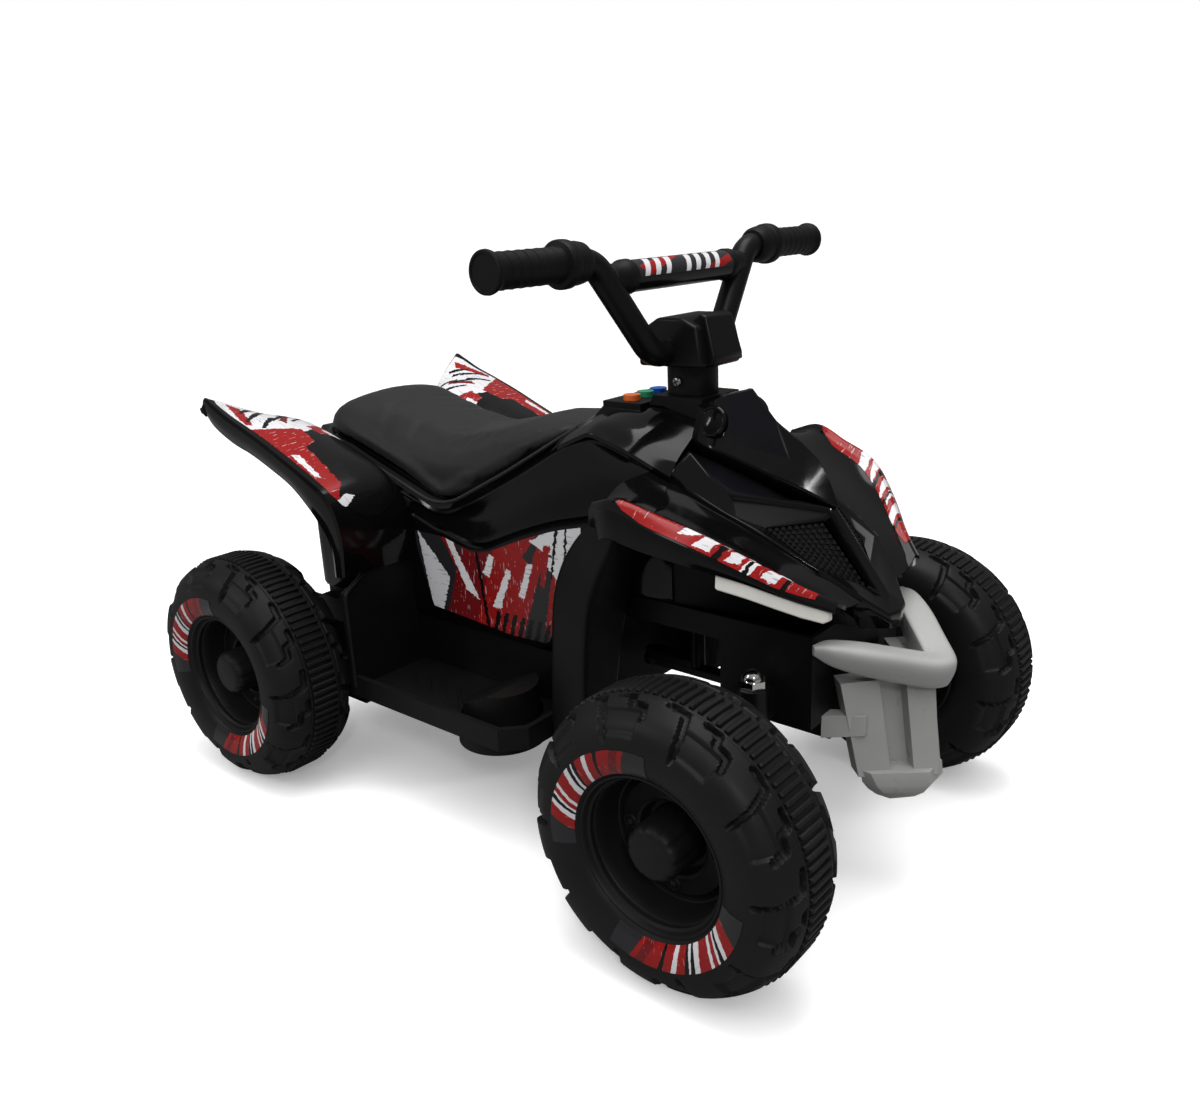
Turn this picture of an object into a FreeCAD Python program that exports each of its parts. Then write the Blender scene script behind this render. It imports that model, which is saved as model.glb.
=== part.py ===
import FreeCAD, Part
import Sketcher
import math
import os
import re
from FreeCAD import Placement, Rotation, Vector

# Kids quad bike. Frame: X forward, Y to the rider's left, Z up, origin on the ground under the
# middle of the toy. Millimetres.

SIZES = {
    # Whole toy
    "wheel_dia": 220, "tyre_width": 84, "wheelbase": 500, "column_setback": 110, "bumper_reach": 114.5,
    # Fits and walls
    "run_gap": 0.05, "seat_gap": 0.3, "pivot_slack": 0.5, "hole_gap": 1, "wall": 4, "overrun": 1,
    # Wheels
    "axle_dia": 10, "tyre_wall": 3, "tread_depth": 5, "tread_band": 28, "lug_count": 18,
    "lug_share": 0.6, "lug_proud": 0.5, "lug_root": 1, "rim_dia": 116, "rim_reach": 27, "rim_step": 8,
    "disc_half": 6, "boss_dia": 40, "boss_in": 38, "boss_out": 22, "post_dia": 28, "cap_dia": 42,
    "cap_base_dia": 52, "cap_tip_dia": 33.6, "cap_reach": 34, "cap_sides": 10, "cap_wall": 3,
    "nut_dia": 17, "nut_thick": 6.5,
    # Chassis tub
    "chassis_width": 140, "tub_overhang": 30, "tub_front_back": 68.5, "tub_ramp": 16,
    "tub_step_back": 42.5, "tub_step_run": 60, "block_rear": 40, "block_front": 37.5, "keel_rear": 24,
    "keel_inset": 30,
    # Footboards and front pillars
    "board_thick": 8, "board_lip": 20, "lip_wall": 5, "foot_corner": 18, "foot_gap": 5,
    "foot_front_back": 72.5, "splash_thick": 6, "splash_step": 38, "pillar_depth": 38,
    "pillar_lean": 66, "board_width": 85, "pillar_low_out": 42, "pillar_middle_out": 56,
    "pillar_high_out": 76,
    # Upper body, tank cover, seat
    "tail_overhang": 28, "tail_back": 10, "seat_dip": 172, "seat_front_back": 90, "pan_thick": 4,
    "dash_half": 26, "tank_flat_back": 68.5, "tank_flat_front": 10.5, "tank_rake": 2,
    "tank_top_wall": 5, "seat_overhang": 3, "collar_width": 52, "collar_rear": 24, "fender_drop": 2,
    "seat_crown": 20, "seat_draw": 3, "body_lap": 2, "tank_inset": 2, "tank_bevel": 28, "pan_inset": 10,
    "seat_lap": 4,
    # Dash panel and buttons
    "panel_back": 47.5, "panel_length": 38, "panel_width": 64, "panel_thick": 5, "panel_proud": 1,
    "button_dia": 14, "button_pitch": 18, "button_height": 6, "button_sink": 2.3, "button_floor": 1,
    # Front cowl, visor, fenders, lights, bumper
    "nose_reach": 67.5, "grille_thick": 3, "ridge_half": 3, "fender_wall": 4, "light_height": 9,
    "light_rear": 5.5, "light_knee": 31.5, "light_front": 51.5, "bumper_bar": 20,
    "bumper_bar_height": 24, "bumper_tip": 5, "bumper_tip_height": 14, "bumper_tip_back": 62,
    "bumper_nose_half": 13, "bumper_knee": 4, "skid_back": 52, "skid_front": 22, "skid_top_half": 45,
    "skid_low_half": 28, "skid_wall": 5, "skid_foot": 18, "skid_rake": 12, "skid_window_back": 41.5,
    "skid_window_length": 11.5, "bumper_arm_y": 24, "bumper_arm": 16, "fender_out": 80,
    "rear_fender_out": 93, "bumper_tip_in": 1,
    # Steering
    "kingpin_dia": 12, "sleeve_dia": 24, "beam_width": 20, "arm_reach": 45, "arm_width": 16,
    "arm_thick": 6, "pin_dia": 8, "link_thick": 6, "link_width": 14, "link_drop": 1, "pin_reach": 2,
    "eye_dia": 19, "collar_dia": 20, "knuckle_size": 24, "dome_nut_dia": 20, "dome_hex": 6,
    "dome_dia": 15, "shank_reach": 2, "column_dia": 14, "stem_dia": 40, "bolt_dia": 6,
    "bolt_head_dia": 11, "bolt_head": 3.5, "king_out": 18,
    # Handlebar
    "bar_dia": 20, "bar_wall": 1.5, "grip_x_back": 14.5, "bar_low_back": 6.5, "bar_half": 202,
    "bend_half": 100, "low_half": 44, "bar_bend": 25, "cross_dia": 16, "pad_dia": 25, "pad_half": 54,
    "cover_width": 60, "cover_nose": 8, "cover_nose_rise": 14, "cover_foot": 29, "cover_back": 31,
    "cover_back_drop": 20, "cover_top_rear": 19, "cover_top_front": 20, "grip_dia": 25,
    "grip_flange": 34, "end_flange": 30, "flange_thick": 7, "grip_length": 90, "grip_end": 4,
    # Pedal
    "pedal_back": 130, "pedal_dia": 67, "pedal_gap": 2.5, "pedal_pin_dia": 4, "pedal_pin_back": 26,
    "pedal_pin_length": 64, "cup_depth": 15, "cup_wall": 3, "pedal_out": 40,
    # Drive
    "gear_module": 1.5, "output_teeth": 40, "idler_small_teeth": 10, "idler_big_teeth": 36,
    "pinion_teeth": 9, "gear_thick": 11, "idler_thick": 8, "case_wall": 3, "case_rear": 38,
    "case_front": 92, "idler_pin_dia": 6, "motor_dia": 28, "motor_length": 38, "shaft_dia": 3,
    "hub_dia": 24, "gear_step": 2, "spacer_dia": 18, "post_out_dia": 12, "post_inset": 12,
    "tab_size": 4, "tab_height": 6, "battery_length": 106, "battery_width": 70, "battery_height": 46,
    "battery_front": 60, "case_standoff": 22, "case_depth": 34, "hub_gap": 16,
}

# Heights above the axles. Each gives a size NAME_up and a place NAME_z
HEIGHTS = {
    "floor": -15, "tub_top": 40, "front_floor": 93, "front_top": 112, "block": 40, "keel": 20,
    "splash_out": 85, "splash_top": 101, "pillar_top": 177, "tail": 186, "seat_rear": 208,
    "seat_dip": 154, "seat_front": 212, "shoulder": 244, "dash_front": 230, "tank_side": 236,
    "tank_top": 256, "tank_front": 246, "tank_rear": 240, "collar": 264, "fender_top": 214,
    "rear_tip": 248, "bumper_bar": 78, "bumper_tip": 103, "skid_low": -26, "skid_window_low": -1,
    "skid_window_high": 58, "bumper_arm": 50, "sleeve_low": 40, "sleeve_high": 72, "beam_low": 46,
    "beam_high": 68, "arm_low": 28, "knuckle_low": -13, "stem": 286, "bolt": 275, "bar_low": 298,
    "grip": 370, "cross": 357, "cover_top": 324, "pedal_rear": -1, "pedal_front": 21, "case_low": -40,
    "case_high": 40,
}
SIZES.update({name + "_up": height for name, height in HEIGHTS.items()})

PLACES = {
    "wheel_r": "wheel_dia / 2",
    **{name + "_z": f"wheel_r + {name}_up" for name in HEIGHTS},
    "axle_r": "axle_dia / 2",
    "overall_length": "wheel_r + wheelbase + bumper_reach",
    "rear_x": "wheel_r - overall_length / 2",
    "front_x": "rear_x + wheelbase",
    "column_x": "front_x - column_setback",
    "chassis_half": "chassis_width / 2",
    "body_half": "chassis_half + body_lap",
    "body_width": "2 * body_half",
    "tank_width": "body_width - 2 * tank_inset",
    "tank_flat_half": "body_half - tank_bevel",
    "pan_width": "body_width - 2 * pan_inset",
    "seat_width": "body_width + 2 * seat_lap",
    "fender_half": "chassis_half + fender_out",
    "rear_fender_half": "chassis_half + rear_fender_out",
    "pillar_low_y": "chassis_half + pillar_low_out",
    "pillar_middle_y": "chassis_half + pillar_middle_out",
    "pillar_high_y": "chassis_half + pillar_high_out",
    "keel_width": "chassis_width - 2 * keel_inset",
    "bumper_tip_y": "chassis_half - bumper_tip_in",
    "kingpin_y": "chassis_half + king_out",
    "pedal_y": "chassis_half + pedal_out",
    "case_in_y": "chassis_half + case_standoff",
    "case_out_y": "case_in_y + case_depth",
    "boss_in_y": "case_out_y + case_wall + hub_gap",
    "wheel_y": "boss_in_y + boss_in",
    "foot_half": "chassis_half + board_width",
    "foot_rear_x": "rear_x + max(wheel_r; case_front + splash_thick) + foot_gap",
    "foot_front_x": "column_x - foot_front_back",
    "seat_rear_x": "rear_x - seat_overhang",
    "dip_x": "rear_x + seat_dip",
    "seat_front_x": "column_x - seat_front_back",
    "dash_front_x": "column_x + dash_half",
    "dash_rear_x": "column_x - dash_half",
    "block_front_x": "front_x + block_front",
    "block_rear_x": "front_x - block_rear",
    "keel_x": "front_x - keel_rear",
    "pedal_x": "column_x - pedal_back",
    "pedal_pin_z": "floor_z + board_thick / 2",
    "pin_x": "front_x - arm_reach",
    "crank_x": "column_x - arm_reach",
    "link_top_z": "arm_low_z - link_drop",
    "link_low_z": "link_top_z - link_thick",
    "pin_low_z": "link_low_z - pin_reach",
    "boss_out_y": "wheel_y + boss_out",
    "nut_in_y": "boss_out_y + seat_gap",
    "axle_end_y": "nut_in_y + nut_thick",
    "idler_x": "rear_x + gear_module * (output_teeth + idler_small_teeth) / 2",
    "pinion_x": "idler_x + gear_module * (idler_big_teeth + pinion_teeth) / 2",
    "gear_out_y": "case_out_y - case_wall",
    "gear_in_y": "gear_out_y - gear_thick",
    "idler_in_y": "gear_in_y - idler_thick - gear_step",
    "panel_x": "column_x - panel_back",
    "panel_top_z": "tank_top_z + panel_proud",
    "panel_low_z": "panel_top_z - panel_thick",
    "battery_x": "dip_x - battery_front",
    "bumper_front_x": "overall_length / 2",
}

doc = FreeCAD.newDocument("kids_quad_bike")
sheet = doc.addObject("Spreadsheet::Sheet", "Sizes")
for row, (alias, number) in enumerate(SIZES.items(), 1):
    sheet.set(f"A{row}", alias)
    sheet.set(f"B{row}", str(number))
    sheet.setAlias(f"B{row}", alias)
doc.recompute()


def cells(text):
    """An expression in plain size names, as FreeCAD reads it."""
    def named(match):
        word = match.group(0)
        if word in SIZES:
            return "Sizes." + word
        return "Places." + word if word in PLACES else word
    return re.sub(r"[a-z_]\w*", named, str(text))


places = doc.addObject("App::VarSet", "Places")
for name, formula in PLACES.items():
    places.addProperty("App::PropertyFloat", name)
    places.setExpression(name, cells(formula).replace("Places.", ""))
doc.recompute()


class Numbers:
    """Sizes and places as plain numbers, for shapes that Part's functions make."""

    def __getattr__(self, name):
        return float(sheet.get(name)) if name in SIZES else float(getattr(places, name))


n = Numbers()


# Bound objects

def bind(thing, **formulas):
    for name, formula in formulas.items():
        thing.setExpression(name.replace("__", "."), cells(formula))
    return thing


def put(thing, x=0, y=0, z=0):
    return bind(thing, Placement__Base__x=x, Placement__Base__y=y, Placement__Base__z=z)


TURNS = {
    "z": Rotation(),
    "x": Rotation(Vector(0, 1, 0), 90),
    "y": Rotation(Vector(1, 0, 0), -90),
    "-y": Rotation(Vector(1, 0, 0), 90),
}


def box(name, x, y, z, length, width, height):
    made = doc.addObject("Part::Box", name)
    bind(made, Length=length, Width=width, Height=height)
    return put(made, x, y, z)


def cylinder(name, x, y, z, radius, height, along="z"):
    made = doc.addObject("Part::Cylinder", name)
    bind(made, Radius=radius, Height=height)
    made.Placement.Rotation = TURNS[along]
    return put(made, x, y, z)


def prism(name, x, y, z, radius, height, sides, along="z"):
    made = doc.addObject("Part::Prism", name)
    bind(made, Circumradius=radius, Height=height, Polygon=sides)
    made.Placement.Rotation = TURNS[along]
    return put(made, x, y, z)


def fuse(name, *shapes):
    made = doc.addObject("Part::MultiFuse", name)
    made.Shapes = list(shapes)
    return made


def cut(name, base, *tools):
    made = doc.addObject("Part::Cut", name)
    made.Base = base
    made.Tool = tools[0] if len(tools) == 1 else fuse(name + "_tools", *tools)
    return made


def group(name, *shapes):
    made = doc.addObject("Part::Compound", name)
    made.Links = list(shapes)
    return made


def mirrored(name, source):
    made = doc.addObject("Part::Mirroring", name)
    made.Source = source
    made.Normal = Vector(0, 1, 0)
    return made


def feature(name, shape):
    made = doc.addObject("Part::Feature", name)
    made.Shape = shape
    made.Placement = Placement()
    return made


def new_body(name):
    return doc.addObject("PartDesign::Body", name)


def sketch(body, name, plane, corners, offset="0"):
    """A closed outline whose corners are size formulas, on one of the body's own planes."""
    made = body.newObject("Sketcher::SketchObject", name)
    origin = [item for item in body.Origin.OriginFeatures if item.Role == plane][0]
    made.AttachmentSupport = [(origin, "")]
    made.MapMode = "FlatFace"
    bind(made, AttachmentOffset__Base__z=offset)
    count = len(corners)
    for index in range(count):
        start = Vector(math.cos(2 * math.pi * index / count), math.sin(2 * math.pi * index / count), 0)
        turn = 2 * math.pi * (index + 1) / count
        made.addGeometry(Part.LineSegment(start, Vector(math.cos(turn), math.sin(turn), 0)), False)
    for index in range(count):
        made.addConstraint(Sketcher.Constraint("Coincident", index, 2, (index + 1) % count, 1))
    for index, corner in enumerate(corners):
        for kind, formula in zip(("DistanceX", "DistanceY"), corner):
            number = made.addConstraint(Sketcher.Constraint(kind, -1, 1, index, 1, 0.0))
            made.renameConstraint(number, f"{kind}_{index}")
            made.setExpression(f"Constraints.{kind}_{index}", cells(formula))
    return made


def rectangle(x_low, y_low, x_high, y_high):
    return [(x_low, y_low), (x_high, y_low), (x_high, y_high), (x_low, y_high)]


def extruded(kind, body, outline, length, symmetric=False, back=False):
    made = body.newObject("PartDesign::" + kind, f"{outline.Name}_{kind.lower()}")
    made.Profile = outline
    bind(made, Length=length)
    made.SideType = "Symmetric" if symmetric else "One side"
    made.Reversed = back
    return made


def pad(body, outline, length, **how):
    return extruded("Pad", body, outline, length, **how)


def pocket(body, outline, length, **how):
    return extruded("Pocket", body, outline, length, **how)


# Shapes made with Part's functions

def loft(sections):
    """Ruled solid through closed outlines, each a list of points."""
    wires = [Part.makePolygon([Vector(*point) for point in section + section[:1]]) for section in sections]
    return Part.makeLoft(wires, True, True)


def between(stations, x):
    """Straight blend of the numbers listed for two neighbouring stations."""
    for (x_low, low), (x_high, high) in zip(stations, stations[1:]):
        if x <= x_high:
            share = (x - x_low) / (x_high - x_low)
            return [a + (b - a) * share for a, b in zip(low, high)]
    return stations[-1][1]


def bent_path(corners, radius):
    """Straight runs joined by tangent arcs."""
    points = [Vector(*corner) for corner in corners]
    edges = []
    start = points[0]
    for before, here, after in zip(points, points[1:], points[2:]):
        toward = (before - here).normalize()
        onward = (after - here).normalize()
        turn = math.pi - toward.getAngle(onward)
        trim = radius * math.tan(turn / 2)
        enter = here + toward * trim
        leave = here + onward * trim
        middle = (toward + onward).normalize()
        inside = here + middle * (radius / math.cos(turn / 2) - radius)
        edges.append(Part.makeLine(start, enter))
        edges.append(Part.Arc(enter, inside, leave).toShape())
        start = leave
    edges.append(Part.makeLine(start, points[-1]))
    return Part.Wire(edges)


def tube(path, radius):
    start = path.Edges[0]
    ring = Part.Wire(Part.makeCircle(radius, start.valueAt(start.FirstParameter),
                                     start.tangentAt(start.FirstParameter)))
    return path.makePipeShell([ring], True, False)


nodes = {}


def node(name, thing):
    thing.Label = name
    nodes[name] = thing
    return thing


# Chassis tub

def make_chassis():
    body = new_body("tub_body")
    tail = "rear_x - tub_overhang"
    outline = [
        (tail, "floor_z"), ("column_x - tub_front_back", "floor_z"),
        ("column_x - tub_front_back + tub_ramp", "front_floor_z"), ("block_rear_x", "front_floor_z"),
        ("block_rear_x", "block_z"), ("block_front_x", "block_z"), ("block_front_x", "front_top_z"),
        ("column_x - tub_step_back", "front_top_z"),
        ("column_x - tub_step_back - tub_step_run", "tub_top_z"), (tail, "tub_top_z"),
    ]
    pad(body, sketch(body, "tub_side", "XZ_Plane", outline), "chassis_width", symmetric=True)
    keel = rectangle("keel_x", "keel_z", "block_front_x", "block_z + wall")
    pad(body, sketch(body, "keel_side", "XZ_Plane", keel), "keel_width", symmetric=True)
    bay = [
        (tail + " + wall", "floor_z + wall"), ("column_x - tub_front_back - wall", "floor_z + wall"),
        ("column_x - tub_front_back + tub_ramp - wall", "front_floor_z + wall"),
        ("block_rear_x", "front_floor_z + wall"), ("block_rear_x", "front_top_z + wall"),
        (tail + " + wall", "front_top_z + wall"),
    ]
    pocket(body, sketch(body, "tub_bay", "XZ_Plane", bay), "chassis_width - 2 * wall", symmetric=True)
    block = rectangle("block_rear_x + wall", "block_z + wall", "block_front_x - wall",
                      "front_top_z + wall")
    pocket(body, sketch(body, "block_bay", "XZ_Plane", block), "chassis_width - 2 * wall", symmetric=True)
    hold = rectangle("keel_x + wall", "keel_z + wall", "block_front_x - wall", "block_z + 2 * wall")
    pocket(body, sketch(body, "keel_bay", "XZ_Plane", hold), "keel_width - 2 * wall", symmetric=True)
    slot = rectangle("front_x - beam_width / 2", "beam_low_z", "front_x + beam_width / 2", "beam_high_z")
    pocket(body, sketch(body, "beam_slot", "XZ_Plane", slot), "chassis_width + wall", symmetric=True)
    tools = [
        cylinder("tub_axle_hole", "rear_x", "-chassis_width", "wheel_r", "axle_r + run_gap",
                 "2 * chassis_width", "y"),
        cylinder("tub_column_hole", "column_x", 0, "front_floor_z - wall", "column_dia / 2 + run_gap",
                 "3 * wall"),
        cylinder("tub_motor_hole", "pinion_x", "-case_in_y", "wheel_r", "motor_dia / 2 + hole_gap",
                 "motor_length", "y"),
    ]
    node("lower_chassis", cut("chassis_drilled", body, *tools))


# Footboards, mirrored except for the pedal well

def footboard_body(name):
    body = new_body(name)
    outline = [
        ("foot_rear_x - splash_thick", "-chassis_half"), ("foot_rear_x - splash_thick", "-foot_half"),
        ("foot_front_x - foot_corner", "-foot_half"), ("foot_front_x", "-foot_half + foot_corner"),
        ("foot_front_x", "-chassis_half"),
    ]
    plan = sketch(body, name + "_plan", "XY_Plane", outline, "floor_z")
    pad(body, plan, "board_lip")
    inside = [
        ("foot_rear_x", "-chassis_half + overrun"), ("foot_rear_x", "-foot_half + lip_wall"),
        ("foot_front_x - foot_corner - lip_wall / 2", "-foot_half + lip_wall"),
        ("foot_front_x - lip_wall", "-foot_half + foot_corner + lip_wall / 2"),
        ("foot_front_x - lip_wall", "-chassis_half + overrun"),
    ]
    well = sketch(body, name + "_well", "XY_Plane", inside, "floor_z + board_thick")
    pocket(body, well, "board_lip", back=True)
    wall = [
        ("-chassis_half", "floor_z"), ("-foot_half", "floor_z"), ("-foot_half", "splash_out_z"),
        ("-foot_half + splash_step", "splash_top_z"), ("-body_half", "splash_top_z"),
        ("-body_half", "tub_top_z"), ("-chassis_half", "tub_top_z"),
    ]
    splash = sketch(body, name + "_splash", "YZ_Plane", wall, "foot_rear_x")
    pad(body, splash, "splash_thick", back=True)
    return body


def make_footboards():
    plain = footboard_body("board_left_source")
    node("footboard_left", mirrored("board_left", plain))
    right = footboard_body("board_right_source")
    cup = cylinder("pedal_cup", "pedal_x", "-pedal_y", "floor_z - cup_depth",
                   "pedal_dia / 2 + pedal_gap + cup_wall", "cup_depth")
    well = cylinder("pedal_well", "pedal_x", "-pedal_y", "floor_z - cup_depth + cup_wall",
                    "pedal_dia / 2 + pedal_gap", "cup_depth + board_lip")
    pin = pedal_pin("pedal_pin_hole", "pedal_pin_dia / 2 + run_gap")
    node("footboard_right", cut("board_right", fuse("board_right_cup", right, cup), well, pin))


def pedal_pin(name, radius):
    return cylinder(name, "pedal_x - pedal_pin_back", "-pedal_y - pedal_pin_length / 2", "pedal_pin_z",
                    radius, "pedal_pin_length", "y")


def make_pedal():
    node("pedal_pin", pedal_pin("pedal_pin_rod", "pedal_pin_dia / 2"))
    body = new_body("pedal_body")
    low = "floor_z + seat_gap"
    side = [
        ("pedal_x - pedal_dia / 2", low), ("pedal_x + pedal_dia / 2", low),
        ("pedal_x + pedal_dia / 2", "pedal_front_z"), ("pedal_x + pedal_dia / 5", "pedal_front_z"),
        ("pedal_x - pedal_dia / 2", "pedal_rear_z"),
    ]
    pad(body, sketch(body, "pedal_side", "XZ_Plane", side, "pedal_y"), "pedal_dia", symmetric=True)
    drum = cylinder("pedal_drum", "pedal_x", "-pedal_y", "floor_z", "pedal_dia / 2", "pedal_front_z")
    shaped = doc.addObject("Part::Common", "pedal_shape")
    shaped.Base = body
    shaped.Tool = drum
    hollow = cylinder("pedal_hollow", "pedal_x + wall", "-pedal_y", "floor_z",
                      "pedal_dia / 2 - 3 * wall", "pedal_rear_z - floor_z - wall")
    bore = pedal_pin("pedal_bore", "pedal_pin_dia / 2 + run_gap")
    node("accelerator_pedal", cut("pedal_cut", shaped, hollow, bore))


# Upper body, tank cover, dash

def make_upper_body():
    body = new_body("upper_source")
    foot = "column_x - tub_step_back"
    outline = [
        ("rear_x - tail_overhang", "tub_top_z"), ("rear_x - tail_back", "tail_z"),
        ("seat_rear_x", "seat_rear_z - pan_thick"), ("dip_x", "seat_dip_z - pan_thick"),
        ("seat_front_x", "seat_front_z - pan_thick"), ("dash_rear_x", "shoulder_z"),
        ("dash_front_x", "dash_front_z"), ("dash_front_x", "front_top_z"), (foot, "front_top_z"),
        (foot + " - tub_step_run", "tub_top_z"),
    ]
    pad(body, sketch(body, "upper_side", "XZ_Plane", outline), "body_width", symmetric=True)
    low = "tub_top_z - 2 * wall"
    bay = [
        ("rear_x - tail_overhang + wall", low), ("rear_x - tail_back + wall", "tail_z"),
        ("seat_rear_x + wall", "seat_rear_z - pan_thick - 1.5 * wall"),
        ("dip_x", "seat_dip_z - pan_thick - wall"), ("seat_front_x", "seat_front_z - pan_thick - wall"),
        ("dash_rear_x", "shoulder_z - 1.5 * wall"), ("dash_front_x - wall", "dash_front_z - wall"),
        ("dash_front_x - wall", low),
    ]
    pocket(body, sketch(body, "upper_bay", "XZ_Plane", bay), "body_width - 2 * wall", symmetric=True)
    node("upper_body", cut("upper_drilled", body, column_hole("upper_column_hole")))


def column_hole(name):
    return cylinder(name, "column_x", 0, "front_top_z", "column_dia / 2 + hole_gap", "stem_z")


def make_tank_cover():
    body = new_body("tank_source")
    flat_rear = "column_x - tank_flat_back"
    flat_front = "column_x - tank_flat_front"
    outline = [
        ("seat_front_x", "seat_front_z - pan_thick"), ("seat_front_x + tank_rake", "tank_rear_z"),
        ("(seat_front_x + tank_rake + column_x - tank_flat_back) / 2", "tank_top_z - wall"),
        (flat_rear, "tank_top_z"), (flat_front, "tank_top_z"), ("dash_front_x", "tank_front_z"),
        ("dash_front_x", "dash_front_z"), ("dash_rear_x", "shoulder_z"),
    ]
    pad(body, sketch(body, "tank_side", "XZ_Plane", outline), "tank_width", symmetric=True)
    roof = "tank_top_z - tank_top_wall - panel_thick"
    bay = [
        ("seat_front_x + 2 * wall", "seat_front_z - 3 * wall"), (flat_rear, roof), (flat_front, roof),
        ("dash_front_x - wall", "tank_front_z - panel_thick"),
        ("dash_front_x - wall", "seat_front_z - 3 * wall"),
    ]
    pocket(body, sketch(body, "tank_bay", "XZ_Plane", bay), "2 * tank_flat_half - wall", symmetric=True)
    for side, sign in (("right", "-"), ("left", "")):
        slope = [(sign + "tank_width", "tank_side_z - (tank_top_z - tank_side_z)"
                  " / (tank_width / 2 - tank_flat_half) * tank_width / 2"),
                 (sign + "tank_width", "tank_top_z + overrun"),
                 (sign + "tank_flat_half", "tank_top_z + overrun"),
                 (sign + "tank_flat_half", "tank_top_z")]
        pocket(body, sketch(body, "tank_slope_" + side, "YZ_Plane", slope), "2 * wheelbase", symmetric=True)
    seat = box("panel_seat", "panel_x - panel_length / 2", "-panel_width / 2", "panel_low_z",
               "panel_length", "panel_width", "panel_thick")
    node("tank_cover", cut("tank_drilled", body, column_hole("tank_column_hole"), seat))
    collar = new_body("collar_source")
    side = [
        ("column_x - collar_rear", "tank_top_z"), (flat_front, "tank_top_z"),
        ("dash_front_x", "tank_front_z"), ("dash_front_x", "collar_z"),
        ("column_x - collar_rear + wall", "collar_z"),
    ]
    pad(collar, sketch(collar, "collar_side", "XZ_Plane", side), "collar_width", symmetric=True)
    node("dash_collar", cut("collar_drilled", collar, column_hole("collar_column_hole")))


BUTTONS = {"right": -1, "middle": 0, "left": 1}


def make_panel():
    plate = box("panel_plate", "panel_x - panel_length / 2", "-panel_width / 2", "panel_low_z",
                "panel_length", "panel_width", "panel_thick")
    holes = []
    for side, step in BUTTONS.items():
        spot = f"{step} * button_pitch"
        holes.append(cylinder("button_hole_" + side, "panel_x", spot, "panel_low_z + button_floor",
                              "button_dia / 2 + run_gap", "panel_thick"))
        node("button_" + side, cylinder("button_cap_" + side, "panel_x", spot,
                                        "panel_low_z + button_floor + button_sink", "button_dia / 2",
                                        "button_height"))
    node("control_panel", cut("panel_drilled", plate, *holes))


# Seat. Stations: share of the way along it, top above its rear edge, half width lost to taper

CUSHION_STATIONS = [(0.0, 24, 10), (0.06, 35, 4), (0.2, 26, 1), (0.35, 15, 0), (0.5, 9, 0), (0.7, 17, 5),
                    (0.85, 28, 13), (1.0, 38, 24)]
CUSHION_DIP = (10, 1)


def seat_line():
    """Height of the cushion's lower edge at its rear, its dip and its front."""
    return [(n.seat_rear_x, [n.seat_rear_z]), (n.dip_x, [n.seat_dip_z]),
            (n.seat_front_x, [n.seat_front_z])]


def make_seat():
    body = new_body("pan_source")
    line = [("seat_rear_x", "seat_rear_z"), ("dip_x", "seat_dip_z"), ("seat_front_x", "seat_front_z")]
    under = [(x, z + " - pan_thick") for x, z in reversed(line)]
    pad(body, sketch(body, "pan_side", "XZ_Plane", line + under), "pan_width", symmetric=True)
    node("seat_pan", body)
    dip_share = (n.dip_x - n.seat_rear_x) / (n.seat_front_x - n.seat_rear_x)
    wires = []
    for share, rise, taper in sorted(CUSHION_STATIONS + [(dip_share, *CUSHION_DIP)]):
        x = n.seat_rear_x + share * (n.seat_front_x - n.seat_rear_x)
        base = between(seat_line(), x)[0]
        top = n.seat_rear_z + rise
        half = n.seat_width / 2 - taper
        brow = half - n.seat_crown
        corners = [Vector(x, -half, base), Vector(x, -brow, top - n.seat_crown / 3),
                   Vector(x, brow, top - n.seat_crown / 3), Vector(x, half, base)]
        middle = (base + top) / 2
        swell = [Vector(x, -half + n.seat_draw, middle), Vector(x, 0, top),
                 Vector(x, half - n.seat_draw, middle)]
        edges = [Part.Arc(a, b, c).toShape() for a, b, c in zip(corners, swell, corners[1:])]
        edges.append(Part.makeLine(corners[-1], corners[0]))
        wires.append(Part.Wire(edges))
    node("seat_cushion", feature("cushion", Part.makeLoft(wires, True, True)))


# Front cowl, visor, grille. Cowl rows after the first: X from the front axle, height of the ridge, Y and
# height of the shoulder, Y and height of the waist, Y of the foot and its rise above the tub's top.
# Heights here are above the axles, and Y is for a body of COWL_HALF.

COWL_HALF = 72
COWL_FIRST = (70, 2, 180, 68)
COWL_ROWS = [
    (-47.5, 236, 69, 207, 71, 162, 62, 0),
    (-12.5, 216, 63, 186, 66, 142, 54, 0),
    (18.5, 188, 44, 164, 56, 128, 44, 0),
    (49.5, 144, 27, 136, 42, 118, 32, 2),
    (67.5, 117, 15, 115, 25, 108, 16, 6),
]
# Corners of one opening of the nose, seen from the front, after the two on the ridge
GRILLE_RIDGE_UP = (134, 182)
GRILLE_CORNERS = [(52, 181), (42, 158), (24, 137)]
# Visor rows: X from the dash's front, top, Y and height of the brow, Y and height of the foot
VISOR_ROWS = [(2, 264, 30, 261, 36, 220), (29, 271, 14, 264, 30, 212), (49, 249, 13, 242, 27, 204),
              (71, 235, 11, 229, 22, 194), (87, 222, 8, 216, 16, 182), (101, 193, 3, 190, 6, 178)]


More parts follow.
